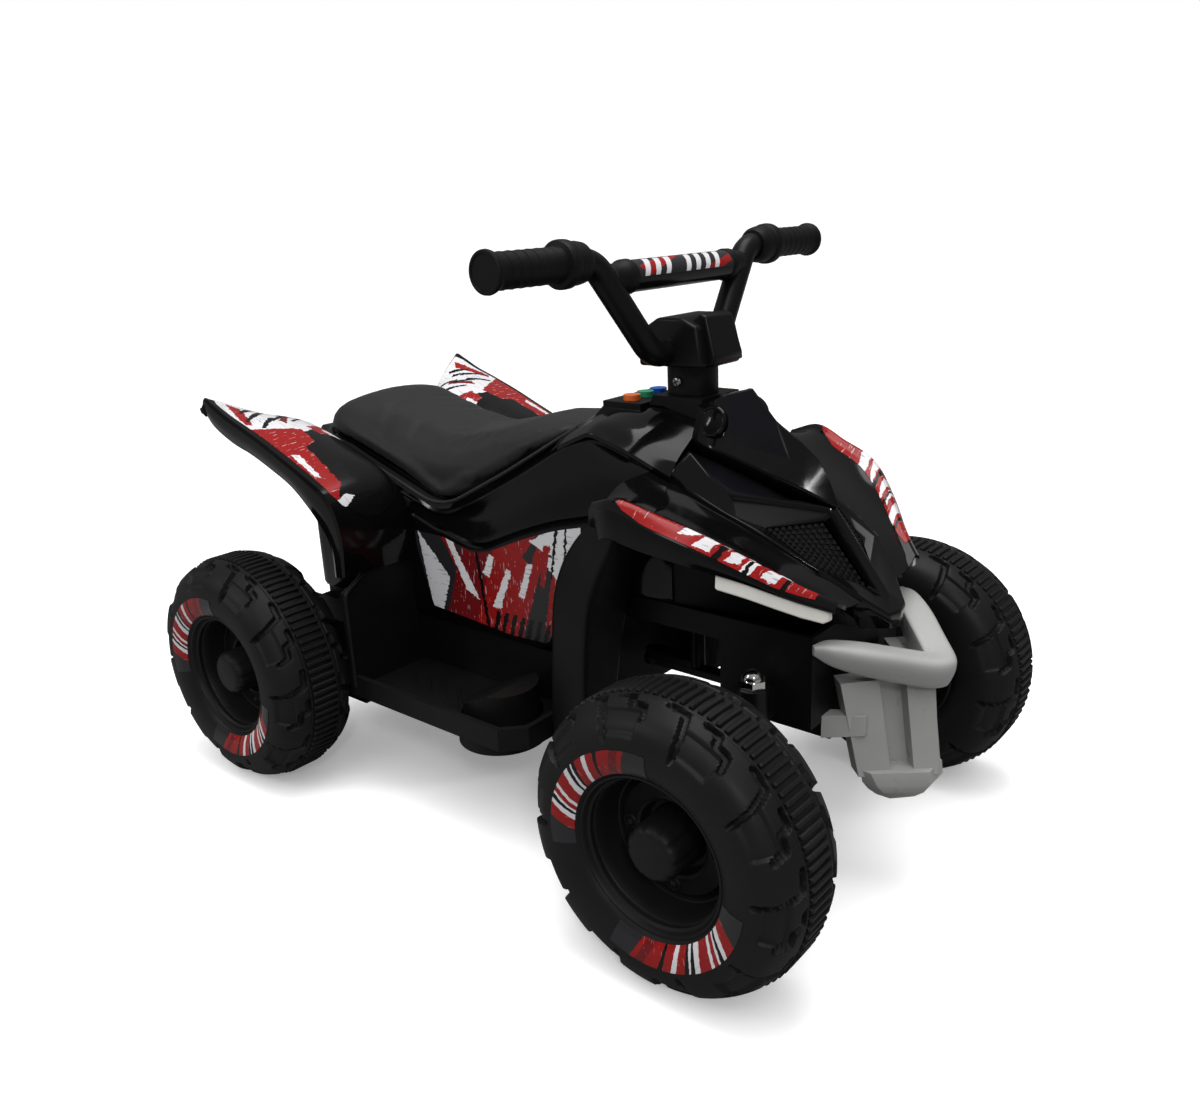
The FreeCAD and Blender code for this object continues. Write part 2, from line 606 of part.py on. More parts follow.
def cowl_sections(inset):
    """Outlines from ridge to foot on both sides, along the cowl."""
    shoulder, drop, waist, foot = COWL_FIRST
    rows = [(n.dash_front_x - n.front_x, n.tank_front_up, shoulder, n.dash_front_up - drop, COWL_HALF, waist,
             foot, 0)]
    wide = n.body_half / COWL_HALF
    made = []
    for ahead, ridge, shoulder_y, shoulder, waist_y, waist, foot_y, rise in rows + COWL_ROWS:
        x = n.front_x + ahead
        half = [(wide * shoulder_y - inset, n.wheel_r + shoulder - inset),
                (wide * waist_y - inset, n.wheel_r + waist),
                (wide * foot_y - inset, n.front_top_z + rise - 3 * inset)]
        right = [(x, -y, z) for y, z in half]
        left = [(x, y, z) for y, z in reversed(half)]
        made.append([(x, 0, n.wheel_r + ridge - inset)] + right + left)
    if inset:
        made[0] = [(x - inset, y, z) for x, y, z in made[0]]
        made[-1] = [(x - inset, y, z) for x, y, z in made[-1]]
    return made


def grille_windows():
    """The two openings of the nose, pushed along X."""
    made = []
    for side in (-1, 1):
        corners = [(n.ridge_half, up) for up in GRILLE_RIDGE_UP]
        corners += [(n.body_half / COWL_HALF * y, up) for y, up in GRILLE_CORNERS]
        face = Part.Face(Part.makePolygon([Vector(n.front_x - n.nose_reach, side * y, n.wheel_r + up)
                                           for y, up in corners + corners[:1]]))
        made.append(face.extrude(Vector(2 * n.nose_reach, 0, 0)))
    return made


def make_front():
    skin = loft(cowl_sections(0))
    cowl = skin.cut(loft(cowl_sections(n.wall)))
    panels = []
    inner = loft(cowl_sections(n.grille_thick))
    for opening in grille_windows():
        cowl = cowl.cut(opening)
        panels.append(opening.common(skin.cut(inner)))
    node("front_cowl", feature("cowl_shell", cowl))
    node("nose_grille", feature("grille_panels", Part.makeCompound(panels)))
    sections = []
    for ahead, top, brow_y, brow, foot_y, foot in VISOR_ROWS:
        x = n.dash_front_x + ahead
        half = [(brow_y, n.wheel_r + brow), (foot_y, n.wheel_r + foot)]
        right = [(x, -y, z) for y, z in half]
        left = [(x, y, z) for y, z in reversed(half)]
        sections.append([(x, 0, n.wheel_r + top)] + right + left)
    node("dash_visor", feature("visor_wedge", loft(sections).cut(skin)))
    return skin


# Fenders and lights

def front_fender_edge():
    """Inner height, outer half width, outer height and lip height along the front fender."""
    half = n.fender_half
    high = n.fender_top_z
    return [
        (n.column_x + 10, [high - 22, half - 6, high - 5, high - 36]),
        (n.column_x + 29, [high - 19, half, high, high - 26]),
        (n.front_x - 22.5, [high - 34, half - 16, high - 13, high - 42]),
        (n.front_x + 31.5, [high - 66, half - 62, high - 49, high - 70]),
        (n.front_x + 53.5, [high - 84, half - 82, high - 76, high - 84]),
    ]


def rear_fender_edge():
    """Inner half width, inner height, outer half width, outer height and lip height."""
    half = n.rear_fender_half
    high = n.rear_tip_z

    def under_seat(back):
        return between(seat_line(), n.rear_x + back)[0] - n.fender_drop

    return [
        (n.rear_x - 60, [half - 30, high - 14, half - 1, high + 1, high - 6]),
        (n.rear_x - 4, [half - 60, high - 26, half, high - 20, high - 36]),
        (n.rear_x + 47, [n.body_half, under_seat(47), half, high - 37, high - 62]),
        (n.rear_x + 97, [n.body_half, under_seat(97), half - 1, high - 57, high - 108]),
        (n.rear_x + 121, [n.body_half, under_seat(121) - 3 * n.wall, half - 4, high - 73, high - 162]),
    ]


def wing(rows):
    """Top plate with a turned-down lip. Rows: x, inner y, inner z, outer y, outer z, lip z."""
    skin = n.fender_wall
    return loft([[(x, -yi, zi), (x, -yo, zo), (x, -yo, zl), (x, -yo + skin, zl),
                  (x, -yo + skin, zo - skin), (x, -yi, zi - skin)] for x, yi, zi, yo, zo, zl in rows])


def make_fenders(skin):
    edge = front_fender_edge()
    rows = [(x, n.body_half / 2, zi, yo, zo, zl) for x, (zi, yo, zo, zl) in edge]
    flank = Part.makeBox(n.dash_front_x - n.dip_x, n.body_width, n.tank_top_z,
                         Vector(n.dip_x, -n.body_half, n.tub_top_z))
    right = wing(rows).cut(skin).cut(flank)
    right = max(right.Solids, key=lambda solid: solid.Volume)
    source = node("front_fender_right", feature("front_fender", right))
    node("front_fender_left", mirrored("front_fender_mirror", source))
    strip = []
    for x in (n.front_x - n.light_rear, n.front_x + n.light_knee, n.front_x + n.light_front):
        zi, yo, zo, zl = between(edge, x)
        strip.append([(x, -yo, zl), (x, -yo, zl - n.light_height),
                      (x, -yo + n.fender_wall, zl - n.light_height), (x, -yo + n.fender_wall, zl)])
    source = node("light_strip_right", feature("light_strip", loft(strip)))
    node("light_strip_left", mirrored("light_mirror", source))
    rows = [(x, *numbers) for x, numbers in rear_fender_edge()]
    source = node("rear_fender_right", feature("rear_fender", wing(rows)))
    node("rear_fender_left", mirrored("rear_fender_mirror", source))


def make_pillars():
    lean = n.pillar_lean

    def outline(z, x, depth, y_in, y_out):
        return [(x, -y_in, z), (x + depth, -y_in, z), (x + depth, -y_out, z), (x, -y_out, z)]

    low = n.foot_front_x
    middle_z = n.front_top_z
    middle_y = n.pillar_middle_y
    depth = n.pillar_depth
    inner = n.chassis_half / 2
    outer = loft([outline(n.floor_z, low, depth, inner, n.pillar_low_y),
                  outline(middle_z, low + lean / 3, depth, inner, middle_y),
                  outline(n.pillar_top_z, low + lean, depth, inner, n.pillar_high_y)])
    skin = n.wall
    core = loft([outline(n.floor_z, low + skin, depth, n.body_half + skin, n.pillar_low_y - skin),
                 outline(middle_z, low + lean / 3 + skin, depth, n.body_half + skin, middle_y - skin),
                 outline(n.pillar_top_z, low + lean + skin, depth, n.body_half + skin,
                         n.pillar_high_y - skin)])
    tub = Part.makeBox(n.overall_length, n.chassis_width, n.wheel_dia,
                       Vector(-n.overall_length / 2, -n.chassis_half, 0))
    flank = Part.makeBox(n.overall_length, n.body_width, n.tank_top_z,
                         Vector(-n.overall_length / 2, -n.body_half, n.tub_top_z))
    source = node("front_pillar_right", feature("front_pillar", outer.cut(core).cut(tub).cut(flank)))
    node("front_pillar_left", mirrored("front_pillar_mirror", source))


# Bumper

def upright(centre, across, thick, high):
    """Four corners of an upright section: thick along the level direction across."""
    side = Vector(*across).normalize() * (thick / 2)
    rise = Vector(0, 0, high / 2)
    middle = Vector(*centre)
    return [tuple(middle + side + rise), tuple(middle + side - rise), tuple(middle - side - rise),
            tuple(middle - side + rise)]


def skid(inset, foot):
    """Tapered nose of the bumper: wide at the back, narrow in front, closed below."""
    rows = []
    for z, half, back in ((n.skid_low_z + foot, n.skid_low_half, n.skid_back - n.skid_rake),
                          (n.bumper_bar_z, n.skid_top_half, n.skid_back)):
        x_back = n.bumper_front_x - back + inset
        x_front = n.bumper_front_x - n.skid_front - inset
        nose = n.bumper_nose_half - inset
        rows.append([(x_back, -half + inset, z), (x_front, -nose, z), (x_front, nose, z),
                     (x_back, half - inset, z)])
    return loft(rows)


def make_bumper():
    nose = n.bumper_front_x - n.bumper_bar / 2
    arms = []
    for side in (-1, 1):
        tip = (nose - n.bumper_tip_back, side * n.bumper_tip_y, n.bumper_tip_z)
        knee = (nose - n.bumper_knee, side * n.bumper_nose_half, n.bumper_bar_z)
        arms.append(loft([upright(tip, (0.7, side * 0.7, 0), n.bumper_tip, n.bumper_tip_height),
                          upright(knee, (0.9, side * 0.4, 0), n.bumper_bar, n.bumper_bar_height),
                          upright((nose, 0, n.bumper_bar_z), (1, 0, 0), n.bumper_bar,
                                  n.bumper_bar_height)]))
    frame = skid(0, 0).cut(skid(n.skid_wall, n.skid_foot))
    window = Part.makeBox(n.skid_window_length, 4 * n.skid_top_half,
                          n.skid_window_high_z - n.skid_window_low_z,
                          Vector(n.bumper_front_x - n.skid_window_back, -2 * n.skid_top_half,
                                 n.skid_window_low_z))
    whole = arms[0].fuse(arms[1]).fuse(frame.cut(window))
    for side in (-1, 1):
        back = n.bumper_front_x - n.skid_back + n.skid_rake
        arm = Part.makeBox(back - n.block_front_x, n.bumper_arm, n.bumper_arm,
                           Vector(n.block_front_x, side * n.bumper_arm_y - n.bumper_arm / 2,
                                  n.bumper_arm_z - n.bumper_arm / 2))
        whole = whole.fuse(arm.cut(skid(n.skid_wall, n.skid_foot)))
    node("front_bumper", feature("bumper", whole.removeSplitter()))


# Front axle and steering

def make_front_axle():
    beam = box("beam_bar", "front_x - beam_width / 2", "-kingpin_y", "beam_low_z", "beam_width",
               "2 * kingpin_y", "beam_high_z - beam_low_z")
    ends = []
    bores = []
    for side, sign in (("right", "-"), ("left", "")):
        ends.append(cylinder("beam_sleeve_" + side, "front_x", sign + "kingpin_y", "sleeve_low_z",
                             "sleeve_dia / 2", "sleeve_high_z - sleeve_low_z"))
        bores.append(cylinder("beam_bore_" + side, "front_x", sign + "kingpin_y", "sleeve_low_z - wall",
                              "kingpin_dia / 2 + run_gap", "sleeve_high_z - sleeve_low_z + 2 * wall"))
    node("front_axle_beam", cut("beam_bored", fuse("beam_solid", beam, *ends), *bores))


def make_knuckles():
    shank_top = "sleeve_high_z + dome_hex + shank_reach"
    king = cylinder("kingpin", "front_x", "-kingpin_y", "knuckle_low_z", "kingpin_dia / 2",
                    f"{shank_top} - knuckle_low_z")
    collar = cylinder("kingpin_collar", "front_x", "-kingpin_y", "arm_low_z", "collar_dia / 2",
                      "sleeve_low_z - seat_gap - arm_low_z")
    block = box("knuckle_block", "front_x - knuckle_size / 2", "-kingpin_y - knuckle_size / 2",
                "knuckle_low_z", "knuckle_size", "knuckle_size", "arm_low_z + arm_thick - knuckle_low_z")
    arm = box("knuckle_arm", "pin_x", "-kingpin_y - arm_width / 2", "arm_low_z", "arm_reach", "arm_width",
              "arm_thick")
    eye = cylinder("knuckle_eye", "pin_x", "-kingpin_y", "arm_low_z", "arm_width / 2", "arm_thick")
    pin = cylinder("knuckle_pin", "pin_x", "-kingpin_y", "pin_low_z", "pin_dia / 2",
                   "arm_low_z - pin_low_z")
    boss = cylinder("stub_boss", "front_x", "-kingpin_y", "wheel_r", "collar_dia / 2",
                    "boss_in_y - seat_gap - kingpin_y", "-y")
    stub = cylinder("stub_axle", "front_x", "-kingpin_y", "wheel_r", "axle_r", "axle_end_y - kingpin_y",
                    "-y")
    source = node("knuckle_right", fuse("knuckle", king, collar, block, arm, eye, pin, boss, stub))
    node("knuckle_left", mirrored("knuckle_mirror", source))
    nut_z = "sleeve_high_z + seat_gap"
    hexagon = prism("dome_hexagon", "front_x", "-kingpin_y", nut_z, "dome_nut_dia / 2", "dome_hex", 6)
    dome = doc.addObject("Part::Sphere", "dome_cap")
    bind(dome, Radius="dome_dia / 2", Angle1="0")
    put(dome, "front_x", "-kingpin_y", nut_z + " + dome_hex")
    thread = cylinder("dome_thread", "front_x", "-kingpin_y", "sleeve_low_z", "kingpin_dia / 2 + run_gap",
                      f"{shank_top} - sleeve_low_z + run_gap")
    source = node("kingpin_nut_right", cut("dome_nut", fuse("dome_solid", hexagon, dome), thread))
    node("kingpin_nut_left", mirrored("dome_mirror", source))
    source = node("front_axle_nut_right", axle_nut("front_nut", "front_x"))
    node("front_axle_nut_left", mirrored("front_nut_mirror", source))


def axle_nut(name, x):
    hexagon = prism(name + "_hexagon", x, "-nut_in_y", "wheel_r", "nut_dia / 2", "nut_thick", 6, "-y")
    thread = cylinder(name + "_thread", x, "-nut_in_y + overrun", "wheel_r", "axle_r + run_gap",
                      "nut_thick + 2 * overrun", "-y")
    return cut(name, hexagon, thread)


def make_link():
    """One plate: a bar between the knuckle arms and a tongue back to the column's crank."""
    eyes = []
    holes = []
    for name, x, y, gap in (("right", "pin_x", "-kingpin_y", "run_gap"),
                            ("left", "pin_x", "kingpin_y", "pivot_slack"),
                            ("crank", "crank_x", "0", "pivot_slack")):
        eyes.append(cylinder("link_eye_" + name, x, y, "link_low_z", "eye_dia / 2", "link_thick"))
        holes.append(cylinder("link_hole_" + name, x, y, "link_low_z - overrun", f"pin_dia / 2 + {gap}",
                              "link_thick + 2 * overrun"))
    bar = box("link_bar", "pin_x - link_width / 2", "-kingpin_y", "link_low_z", "link_width",
              "2 * kingpin_y", "link_thick")
    tongue = box("link_tongue", "crank_x", "-link_width / 2", "link_low_z", "column_setback", "link_width",
                 "link_thick")
    node("steering_link", cut("link_bored", fuse("link_solid", bar, tongue, *eyes), *holes))


def make_column():
    bolt_hole = cylinder("column_bolt_hole", "column_x", "-stem_dia", "bolt_z", "bolt_dia / 2 + run_gap",
                         "2 * stem_dia", "y")
    rod = cylinder("column_rod", "column_x", 0, "arm_low_z", "column_dia / 2", "stem_z - arm_low_z")
    crank = box("column_crank", "crank_x", "-arm_width / 2", "arm_low_z", "arm_reach", "arm_width",
                "arm_thick")
    eye = cylinder("crank_eye", "crank_x", 0, "arm_low_z", "arm_width / 2", "arm_thick")
    pin = cylinder("crank_pin", "crank_x", 0, "pin_low_z", "pin_dia / 2", "arm_low_z - pin_low_z")
    node("steering_column", cut("column_bored", fuse("column_solid", rod, crank, eye, pin), bolt_hole))
    outer = cylinder("stem_outer", "column_x", 0, "collar_z + seat_gap", "stem_dia / 2",
                     "stem_z - collar_z - seat_gap")
    bore = cylinder("stem_bore", "column_x", 0, "collar_z", "column_dia / 2 + run_gap", "stem_z")
    slot = cylinder("stem_bolt_hole", "column_x", "-stem_dia", "bolt_z", "bolt_dia / 2 + run_gap",
                    "2 * stem_dia", "y")
    node("steering_sleeve", cut("stem_bored", outer, bore, slot))
    shank = cylinder("bolt_shank", "column_x", "-stem_dia / 2", "bolt_z", "bolt_dia / 2", "stem_dia", "y")
    head = cylinder("bolt_cap", "column_x", "-stem_dia / 2", "bolt_z", "bolt_head_dia / 2", "bolt_head",
                    "-y")
    node("steering_bolt", fuse("bolt", shank, head))


# Handlebar

def make_handlebar():
    x_grip = n.column_x - n.grip_x_back
    x_low = n.column_x - n.bar_low_back
    corners = [(x_grip, -n.bar_half, n.grip_z), (x_grip, -n.bend_half, n.grip_z),
               (x_low, -n.low_half, n.bar_low_z), (x_low, n.low_half, n.bar_low_z),
               (x_grip, n.bend_half, n.grip_z), (x_grip, n.bar_half, n.grip_z)]
    path = bent_path(corners, n.bar_bend)
    share = (n.grip_z - n.cross_z) / (n.grip_z - n.bar_low_z)
    cross_x = x_grip + share * (x_low - x_grip)
    cross_half = n.bend_half + share * (n.low_half - n.bend_half)
    outer = tube(path, n.bar_dia / 2)
    cross = Part.makeCylinder(n.cross_dia / 2, 2 * cross_half, Vector(cross_x, -cross_half, n.cross_z),
                              Vector(0, 1, 0))
    bar = outer.fuse(cross).cut(tube(path, n.bar_dia / 2 - n.bar_wall))
    node("handlebar", feature("bar", max(bar.Solids, key=lambda solid: solid.Volume)))
    pad_shape = Part.makeCylinder(n.pad_dia / 2, 2 * n.pad_half, Vector(cross_x, -n.pad_half, n.cross_z),
                                  Vector(0, 1, 0))
    node("crossbar_pad", feature("pad_tube", pad_shape.cut(cross)))
    cover = new_body("cover_source")
    side = [
        ("column_x - cover_foot", "stem_z"), ("dash_front_x", "stem_z"),
        ("dash_front_x + cover_nose", "stem_z + cover_nose_rise"),
        ("column_x + cover_top_front", "cover_top_z"), ("column_x - cover_top_rear", "cover_top_z"),
        ("column_x - cover_back", "cover_top_z - cover_back_drop"),
    ]
    pad(cover, sketch(cover, "cover_side", "XZ_Plane", side), "cover_width", symmetric=True)
    hole = cylinder("cover_bar_hole", "column_x - bar_low_back", "-cover_width", "bar_low_z", "bar_dia / 2",
                    "2 * cover_width", "y")
    node("stem_cover", cut("cover_bored", cover, hole))
    make_grips(x_grip)


def make_grips(x_grip):
    inner = n.bar_half - n.grip_length
    end = n.bar_half + n.grip_end
    bore = n.bar_dia / 2 + n.run_gap
    profile = [(inner, bore), (inner, n.grip_flange / 2), (inner + n.flange_thick, n.grip_flange / 2),
               (inner + n.flange_thick, n.grip_dia / 2), (end - n.flange_thick, n.grip_dia / 2),
               (end - n.flange_thick, n.end_flange / 2), (end, n.end_flange / 2), (end, 0),
               (n.bar_half, 0), (n.bar_half, bore)]
    face = Part.Face(Part.makePolygon([Vector(x_grip, -y, n.grip_z + r) for y, r in profile + profile[:1]]))
    turned = face.revolve(Vector(x_grip, 0, n.grip_z), Vector(0, 1, 0), 360)
    source = node("grip_right", feature("grip", turned))
    node("grip_left", mirrored("grip_mirror", source))


# Wheels: local frame with the axle along Y and the outer face toward -Y

TYRE_POWER = 2.4
BEAD_TURN = 118
AIR_TURN = 100
LUG_TURNS = (16, 80)


def tyre_curve(half_width, radius, from_turn, to_turn, steps=8):
    """Balloon tyre outline: a super-ellipse about the middle of its section."""
    middle = (n.wheel_r + n.rim_dia / 2) / 2 - n.tread_depth
    points = []
    for step in range(steps + 1):
        turn = math.radians(from_turn + (to_turn - from_turn) * step / steps)
        sine = math.sin(turn)
        cosine = math.cos(turn)
        out = half_width * math.copysign(abs(sine) ** (2 / TYRE_POWER), sine)
        up = (radius - middle) * math.copysign(abs(cosine) ** (2 / TYRE_POWER), cosine)
        points.append(Vector(0, -out, middle + up))
    curve = Part.BSplineCurve()
    curve.interpolate(points)
    return curve.toShape(), points


def turned_face(edges, sweep=360, start=0):
    face = Part.Face(Part.Wire(edges))
    face.rotate(Vector(), Vector(0, 1, 0), start)
    return face.revolve(Vector(), Vector(0, 1, 0), sweep)


def lines(points):
    return [Part.makeLine(Vector(*a), Vector(*b)) for a, b in zip(points, points[1:])]


def wheel_shape():
    half = n.tyre_width / 2
    carcass = n.wheel_r - n.tread_depth
    rim = n.rim_dia / 2
    crown, points = tyre_curve(half, carcass, BEAD_TURN, -BEAD_TURN, 16)
    bore = n.axle_r + n.run_gap
    outside = [(0, -n.boss_out, bore), (0, -n.boss_out, n.post_dia / 2),
               (0, -n.disc_half, n.post_dia / 2), (0, -n.disc_half, rim - n.rim_step), (0, -n.rim_reach, rim),
               tuple(points[0])]
    inside = [tuple(points[-1]), (0, n.rim_reach, rim), (0, n.disc_half, rim - n.rim_step),
              (0, n.disc_half, n.boss_dia / 2), (0, n.boss_in, n.boss_dia / 2), (0, n.boss_in, bore),
              (0, -n.boss_out, bore)]
    solid = turned_face(lines(outside) + [crown] + lines(inside))
    hollow, air = tyre_curve(half - n.tyre_wall, carcass - n.tyre_wall, AIR_TURN, -AIR_TURN, 16)
    floor = rim + n.tyre_wall
    well = [tuple(air[-1]), (0, n.rim_reach, floor), (0, -n.rim_reach, floor), tuple(air[0])]
    solid = solid.cut(turned_face([hollow] + lines(well)))
    pitch = 360 / n.lug_count
    band = Part.makeCylinder(n.wheel_r, n.tread_band, Vector(0, -n.tread_band / 2, 0), Vector(0, 1, 0))
    core = Part.makeCylinder(carcass - n.lug_root, n.tread_band, Vector(0, -n.tread_band / 2, 0),
                             Vector(0, 1, 0))
    lugs = [band.cut(core)]
    for side in (-1, 1):
        turns = [turn * side for turn in LUG_TURNS]
        low, low_points = tyre_curve(half - n.lug_root, carcass - n.lug_root, *turns)
        high, high_points = tyre_curve(half + n.lug_proud, n.wheel_r, *turns)
        ends = lines([low_points[-1], high_points[-1]]) + lines([high_points[0], low_points[0]])
        first = turned_face([low, ends[0], high, ends[1]], pitch * n.lug_share, pitch / 4 * side)
        for index in range(int(n.lug_count)):
            lug = first.copy()
            lug.rotate(Vector(), Vector(0, 1, 0), pitch * index)
            lugs.append(lug)
    return solid.multiFuse(lugs)


def make_wheels():
    right = feature("wheel_shape", wheel_shape())
    barrel = prism("cap_barrel", 0, "-disc_half", 0, "cap_dia / 2", "cap_reach - disc_half", "cap_sides",
                   "-y")
    taper = doc.addObject("Part::Cone", "cap_taper")
    bind(taper, Radius1="cap_base_dia / 2", Radius2="cap_tip_dia / 2", Height="cap_reach - disc_half")
    taper.Placement.Rotation = TURNS["-y"]
    put(taper, 0, "-disc_half", 0)
    shaped = doc.addObject("Part::Common", "cap_shape")
    shaped.Base = barrel
    shaped.Tool = taper
    hollow = cylinder("cap_hollow", 0, "-disc_half + overrun", 0, "(cap_tip_dia - cap_wall) / 2",
                      "cap_reach - disc_half - cap_wall + overrun", "-y")
    cap = cut("cap", shaped, hollow)
    for end, x in (("front", "front_x"), ("rear", "rear_x")):
        for name, source in (("wheel", right), ("hub_cap", cap)):
            placed = put(group(f"{end}_right_{name}_group", source), x, "-wheel_y", "wheel_r")
            node(f"{end}_right_{name}", placed)
            node(f"{end}_left_{name}", mirrored(f"{end}_left_{name}_mirror", placed))


# Rear axle and drive

def make_rear_axle():
    rod = cylinder("axle_rod", "rear_x", "-axle_end_y", "wheel_r", "axle_r", "2 * axle_end_y", "y")
    spacer = cylinder("axle_spacer", "rear_x", "chassis_half", "wheel_r", "spacer_dia / 2",
                      "boss_in_y - seat_gap - chassis_half", "y")
    node("rear_axle", fuse("axle", rod, spacer))
    right = axle_nut("rear_nut", "rear_x")
    node("rear_axle_nuts", group("rear_nuts", right, mirrored("rear_nut_mirror", right)))


GEAR_ADDENDUM = 0.8
GEAR_DEDENDUM = 1.15
TOOTH_SHARE = 0.68


def gear_shape(teeth, bore, y_out, y_in, start):
    """Spur gear about its own axis along Y, between two half widths on the right side."""
    radius = n.gear_module * teeth / 2
    root = radius - GEAR_DEDENDUM * n.gear_module
    tip = radius + GEAR_ADDENDUM * n.gear_module
    quarter = math.pi / (2 * teeth) * TOOTH_SHARE
    points = []
    for tooth in range(int(teeth)):
        middle = math.radians(start) + 2 * math.pi * tooth / teeth
        for reach, spread in ((root, -1.5), (tip, -0.5), (tip, 0.5), (root, 1.5)):
            turn = middle + spread * quarter
            points.append(Vector(reach * math.cos(turn), -y_out, reach * math.sin(turn)))
    blank = Part.Face(Part.makePolygon(points + points[:1])).extrude(Vector(0, y_out - y_in, 0))
    hole = Part.makeCylinder(bore, y_out - y_in, Vector(0, -y_out, 0), Vector(0, 1, 0))
    return blank.cut(hole)


def make_drive():
    depth = "case_out_y - case_in_y"
    shell = box("case_block", "rear_x - case_rear", "-case_out_y", "case_low_z", "case_rear + case_front",
                depth, "case_high_z - case_low_z")
    room = box("case_room", "rear_x - case_rear + case_wall", "-case_out_y - overrun",
               "case_low_z + case_wall",
               "case_rear + case_front - 2 * case_wall", depth + " + overrun - case_wall",
               "case_high_z - case_low_z - 2 * case_wall")
    pin = cylinder("idler_pin", "idler_x", "-case_in_y", "wheel_r", "idler_pin_dia / 2",
                   depth, "-y")
    posts = []
    for name, x in (("rear", "rear_x - case_rear + post_inset"),
                    ("front", "rear_x + case_front - post_inset")):
        posts.append(cylinder("case_post_" + name, x, "-case_in_y", "case_high_z - post_inset",
                              "post_out_dia / 2", "case_in_y - chassis_half", "y"))
    holes = []
    for name, x, radius in (("axle", "rear_x", "axle_r + run_gap"),
                            ("shaft", "pinion_x", "shaft_dia / 2 + hole_gap")):
        holes.append(cylinder("case_hole_" + name, x, "-case_out_y", "wheel_r", radius,
                              "case_out_y - chassis_half", "y"))
    open_case = cut("case_open", shell, room)
    node("gearbox_case", cut("case_drilled", fuse("case_solid", open_case, pin, *posts), *holes))
    lid = box("lid_plate", "rear_x - case_rear", "-case_out_y - case_wall", "case_low_z",
              "case_rear + case_front", "case_wall", "case_high_z - case_low_z")
    mouth = cylinder("lid_mouth", "rear_x", "-case_out_y - case_wall", "wheel_r",
                     "hub_dia / 2 + seat_gap", "case_wall", "y")
    node("gearbox_cover", cut("lid", lid, mouth))
    can = cylinder("motor_can", "pinion_x", "-case_in_y", "wheel_r", "motor_dia / 2", "motor_length", "y")
    bore = cylinder("motor_bore", "pinion_x", "-case_in_y", "wheel_r", "shaft_dia / 2 + run_gap",
                    "motor_length - wall", "y")
    node("drive_motor", cut("motor", can, bore))
    output = gear_shape(n.output_teeth, n.axle_r + n.run_gap, n.gear_out_y, n.gear_in_y, 0)
    hub = Part.makeCylinder(n.hub_dia / 2, n.boss_in_y - n.gear_in_y, Vector(0, -n.boss_in_y, 0),
                            Vector(0, 1, 0))
    hub = hub.cut(Part.makeCylinder(n.axle_r + n.run_gap, n.boss_in_y, Vector(0, -n.boss_in_y, 0),
                                    Vector(0, 1, 0)))
    node("output_gear", put(feature("output", output.fuse(hub)), "rear_x", 0, "wheel_r"))
    bore = n.idler_pin_dia / 2 + n.run_gap
    small = gear_shape(n.idler_small_teeth, bore, n.gear_out_y, n.gear_in_y,
                       180 + 180 / n.idler_small_teeth)
    big = gear_shape(n.idler_big_teeth, bore, n.gear_in_y, n.gear_in_y - n.idler_thick, 0)
    node("idler_gear", put(feature("idler", small.fuse(big)), "idler_x", 0, "wheel_r"))
    pinion = gear_shape(n.pinion_teeth, n.shaft_dia / 4, n.gear_in_y, n.idler_in_y,
                        180 + 180 / n.pinion_teeth)
    shaft = Part.makeCylinder(n.shaft_dia / 2, n.gear_in_y - n.case_in_y + n.motor_length / 2,
                              Vector(0, -n.gear_in_y, 0), Vector(0, 1, 0))
    node("motor_pinion", put(feature("pinion", pinion.fuse(shaft)), "pinion_x", 0, "wheel_r"))


def make_battery():
    case = box("battery_case", "battery_x - battery_length / 2", "-battery_width / 2", "floor_z + wall",
               "battery_length", "battery_width", "battery_height")
    tabs = [box("battery_tab_" + side, "battery_x", sign + "battery_width / 4",
                "floor_z + wall + battery_height", "tab_size", "tab_size", "tab_height")
            for side, sign in (("right", "-"), ("left", ""))]
    node("battery", fuse("battery_solid", case, *tabs))


make_chassis()
make_footboards()
make_pedal()
make_upper_body()
make_tank_cover()
make_panel()
make_seat()
make_fenders(make_front())
make_pillars()
make_bumper()
make_front_axle()
make_knuckles()
make_link()
make_column()
make_handlebar()
make_wheels()
make_rear_axle()
make_drive()
make_battery()
doc.recompute()

for item in doc.Objects:
    if "Invalid" in item.State or "Error" in item.State:
        raise RuntimeError(f"{item.Name} failed: {item.State}")
os.makedirs("parts", exist_ok=True)
for name, item in nodes.items():
    if item.Shape.isNull() or not item.Shape.isValid() or not item.Shape.Solids:
        raise RuntimeError(f"{name} has no valid solid")
    item.Shape.exportStep(f"parts/{name}.step")
print(len(nodes), "nodes")
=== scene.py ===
"""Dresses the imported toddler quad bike: wheels, seat, panels, trim, finishes and a plain studio."""

import math

import bmesh
import bpy
import numpy as np
from mathutils import Matrix, Vector


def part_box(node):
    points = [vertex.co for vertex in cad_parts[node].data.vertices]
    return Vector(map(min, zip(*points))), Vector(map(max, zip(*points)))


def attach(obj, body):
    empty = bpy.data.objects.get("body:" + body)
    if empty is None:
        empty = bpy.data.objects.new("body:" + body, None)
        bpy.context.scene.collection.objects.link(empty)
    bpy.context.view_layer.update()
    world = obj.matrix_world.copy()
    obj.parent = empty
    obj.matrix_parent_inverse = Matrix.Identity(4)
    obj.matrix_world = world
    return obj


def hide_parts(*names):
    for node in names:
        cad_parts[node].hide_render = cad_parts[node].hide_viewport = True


bl_info = {
    "name": "Toddler quad bike",
    "version": (1, 0, 0),
    "blender": (4, 5, 0),
    "location": "View3D > Sidebar > Quad bike",
    "description": "Builds the dressed pieces of a toddler quad bike over its packed frame",
    "category": "Object",
}

